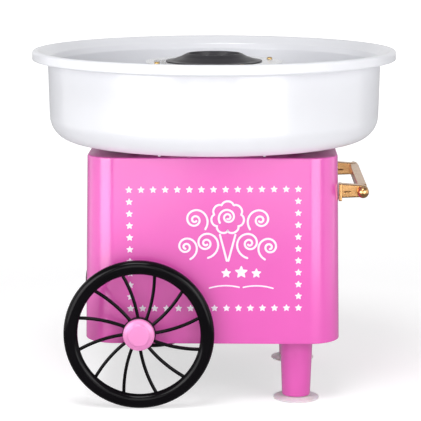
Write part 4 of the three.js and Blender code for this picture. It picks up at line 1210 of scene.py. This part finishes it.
def make_funnel():
    """A low cone on the disc, round a channel that the sugar is poured into."""
    seat = DISC_HIGH.z + GAP
    top, low = FUNNEL_HIGH.z, FUNNEL_LOW.z
    outline = rounded([
        (0, low, 0),
        (FUNNEL_BARREL, low, 0.5),
        (FUNNEL_BARREL, seat, 0),
        (FUNNEL_RADIUS, seat, 0.1),
        (FUNNEL_RADIUS, seat + 0.3, 0.1),
        (32.5, seat + 0.75, 6),
        (25, seat + 3.6, 6),
        (20.6, top, 0.7),
        (19.4, top, 0.5),
        (16.7, FUNNEL_FLOOR, 1.2),
        (FUNNEL_POST + 0.2, FUNNEL_FLOOR, 1),
        (FUNNEL_POST, FUNNEL_POST_TOP, 0.8),
        (0, FUNNEL_POST_TOP, 0),
    ])
    funnel = raw(turned(outline, ROUND))
    near, far, half_width = 13.2, 20, 1.5
    port_outline = rounded([
        (near, -half_width, 0.6), (far, -half_width, 0),
        (far, half_width, 0), (near, half_width, 0.6),
    ])
    port = prism(port_outline, FUNNEL_FLOOR + 0.4, FUNNEL_FLOOR + 3.2)
    ports = [moved(port, spin(30 + 360 * k / FUNNEL_PORTS)) for k in range(FUNNEL_PORTS)]
    stand_in(cut(funnel, *ports), "sugar_funnel")


# ---- switch and cord gland
def make_switch():
    """A frame, with the case behind it and a window for the rocker, drawn with its front up."""
    half_x, half_z, corner = 7.6, 10.6, 1.6
    surround_outline = box_outline(-half_x, -half_z, half_x, half_z, corner)
    surround = soften(raw(prism(surround_outline, -2, 0)), 0.5)
    case = raw(block((-6.4, -9.4, -17), (6.4, 9.4, -1)))
    window = block((-4.6, -7.8, -10), (4.6, 7.8, 2))
    housing = cut(join(surround, case), window)
    housing.data.transform(shift(SWITCH_X, SWITCH_HIGH.y, SWITCH_Z) @ spin(180) @ spin(90, "X"))
    stand_in(housing, "switch_housing")


def make_rocker():
    """The rocker is drawn level about its pivot, then tipped to off. Its marks are a bar and a ring."""
    joint = next(j for j in frame["joints"] if j["name"] == "switch_rock")
    pivot = Vector(joint["pos_m"]) / MM
    half_length, half_width = 7, 4.2
    barrel, tilt = 5.6, 7
    shares = [k / 8 - 1 for k in range(17)]  # along the rocker, from end to end
    dished_top = [Vector((half_length * share, 1.8 + 0.8 * share ** 2)) for share in shares]
    outline = arc(0, 0, barrel, -180, 0, 24)
    outline += [Vector((half_length, 0.6)), *reversed(dished_top), Vector((-half_length, 0.6))]
    tip = shift(*pivot) @ spin(tilt, "X") @ spin(-90, "Y")
    rocker = soften(raw(prism(outline, -half_width, half_width)), 0.35)
    rocker.data.transform(tip)
    stand_in(rocker, "switch_rocker")
    bar = block((3.4, 1.9, -0.35), (5.8, 2.35, 0.35))
    ring = moved(
        turned([(0.85, 1.9), (1.35, 1.9), (1.35, 2.35), (0.85, 2.35)], 24),
        shift(-4.6, 0, 0),
        spin(-90, "X"),
    )
    marks = raw(moved(together([bar, ring]), tip))
    trim(marks, "rocker_marks", "rocker", FINISHES["black_housing"])


def make_gland():
    """A rubber bush for the cord, drawn about Z with the wall's face at z = 0."""
    bore, neck, head = 2.4, 4.4, 4
    inner_end = -10
    outline = rounded([
        (bore, inner_end, 0.3), (neck, inner_end, 0.3),
        (neck, 0, 0.2), (6.2, 0, 0.5),
        (6.1, 1.6, 0.6), (5.5, 2.1, 0.4),
        (5.5, 2.7, 0.4), (5.6, 3.1, 0.4),
        (5.3, head, 0.8), (bore, head, 0.5),
    ])
    place = shift(GLAND_X, GLAND_HIGH.y - head, GLAND_Z) @ spin(-90, "X")
    stand_in(raw(moved(turned(outline, SMALL), place)), "cord_gland")


# ---- studio
def make_floor():
    reach = 30  # metres
    corners = [(-reach, -reach, 0), (reach, -reach, 0), (reach, reach, 0), (-reach, reach, 0)]
    floor = raw((corners, [(0, 1, 2, 3)]))
    floor.name = "studio_floor"
    floor.data.materials.append(floor_finish())
    floor.visible_glossy = False


def make_world():
    world = bpy.data.worlds.new("studio")
    bpy.context.scene.world = world
    world.use_nodes = True
    background = world.node_tree.nodes["Background"]
    background.inputs["Color"].default_value = (1, 1, 1, 1)
    background.inputs["Strength"].default_value = 0.35


def area_light(name, location, out, width, height, radiance):
    """A rectangular light that faces against the direction out."""
    light = bpy.data.lights.new(name, "AREA")
    light.shape = "RECTANGLE"
    light.size, light.size_y = width, height
    light.energy = radiance * math.pi * width * height
    obj = bpy.data.objects.new(name, light)
    obj.location = location
    obj.rotation_euler = (-out).to_track_quat("-Z", "Y").to_euler()
    obj.visible_camera = False
    bpy.context.scene.collection.objects.link(obj)
    return obj


def softbox(name, azimuth, elevation, distance, width, height, radiance, only_reflects=False):
    """A soft light round the machine. Azimuth 0 is on the user's side and 90 on the handle's."""
    target = Vector((0, 0, 0.13))
    a, e = math.radians(azimuth), math.radians(elevation)
    out = Vector((math.sin(a) * math.cos(e), -math.cos(a) * math.cos(e), math.sin(e)))
    light = area_light(name, target + out * distance, out, width, height, radiance)
    light.visible_diffuse = not only_reflects


def make_bounce(radiance):
    """Light that comes up from the table in front of the machine."""
    light = area_light("table_bounce", (0, -0.74, 0.01), Vector((0, 0, -1)), 1.6, 1.0, radiance)
    light.visible_glossy = False


def make_camera():
    camera = bpy.data.cameras.new("camera")
    camera.sensor_width = 36
    camera.lens = 155
    obj = bpy.data.objects.new("camera", camera)
    obj.location = (0.0269, -1.3752, 0.3696)
    pitch, yaw = math.radians(9.83), math.radians(-1.232)
    forward = Vector((math.sin(yaw) * math.cos(pitch), math.cos(yaw) * math.cos(pitch), -math.sin(pitch)))
    obj.rotation_euler = forward.to_track_quat("-Z", "Y").to_euler()
    bpy.context.scene.collection.objects.link(obj)
    bpy.context.scene.camera = obj


def make_studio():
    make_camera()
    make_floor()
    make_world()
    make_bounce(0.2)
    softbox("left_key", -40, 20, 1.0, 0.6, 0.45, 3.2)
    softbox("right_key", 45, 20, 1.0, 0.6, 0.45, 3.2)
    softbox("top_softbox", -18, 66, 1.6, 0.65, 0.65, 11.0)
    softbox("left_strip", -43, 8, 0.75, 0.5, 0.5, 6.0, only_reflects=True)
    softbox("right_strip", 31, 8, 0.75, 0.42, 0.5, 5.0, only_reflects=True)
    softbox("front_left_panel", -8.5, 10, 0.75, 0.16, 0.46, 4.0, only_reflects=True)
    softbox("front_right_panel", 5.5, 10, 0.75, 0.13, 0.46, 3.0, only_reflects=True)
    softbox("left_wall", -95, 10, 1.2, 1.3, 1.0, 1.2, only_reflects=True)
    softbox("right_wall", 90, 10, 1.2, 1.3, 1.0, 1.2, only_reflects=True)
    softbox("rear_backdrop", 180, 12, 3.0, 4.0, 1.6, 0.5, only_reflects=True)
    bpy.context.scene.view_settings.view_transform = "Standard"


# ---- the whole machine
def finish_cad_nodes():
    """Every CAD node that stays in view gets the finish of its slot."""
    for node, obj in frame["nodes"].items():
        obj.data.materials.clear()
        obj.data.materials.append(FINISHES[NODE_SLOT[node]])


make_studio()
finish_cad_nodes()
make_bowl()
make_body_shell()
make_star_border()
make_ornament()
make_small_ornament()
make_legs()
make_wheels()
make_handle()
make_screws()
make_turret()
make_ceramic_former()
make_heating_coil()
make_shaft()
make_drive_pin()
make_drive_hub()
make_dish()
make_sugar_mesh()
make_disc()
make_funnel()
make_switch()
make_rocker()
make_gland()
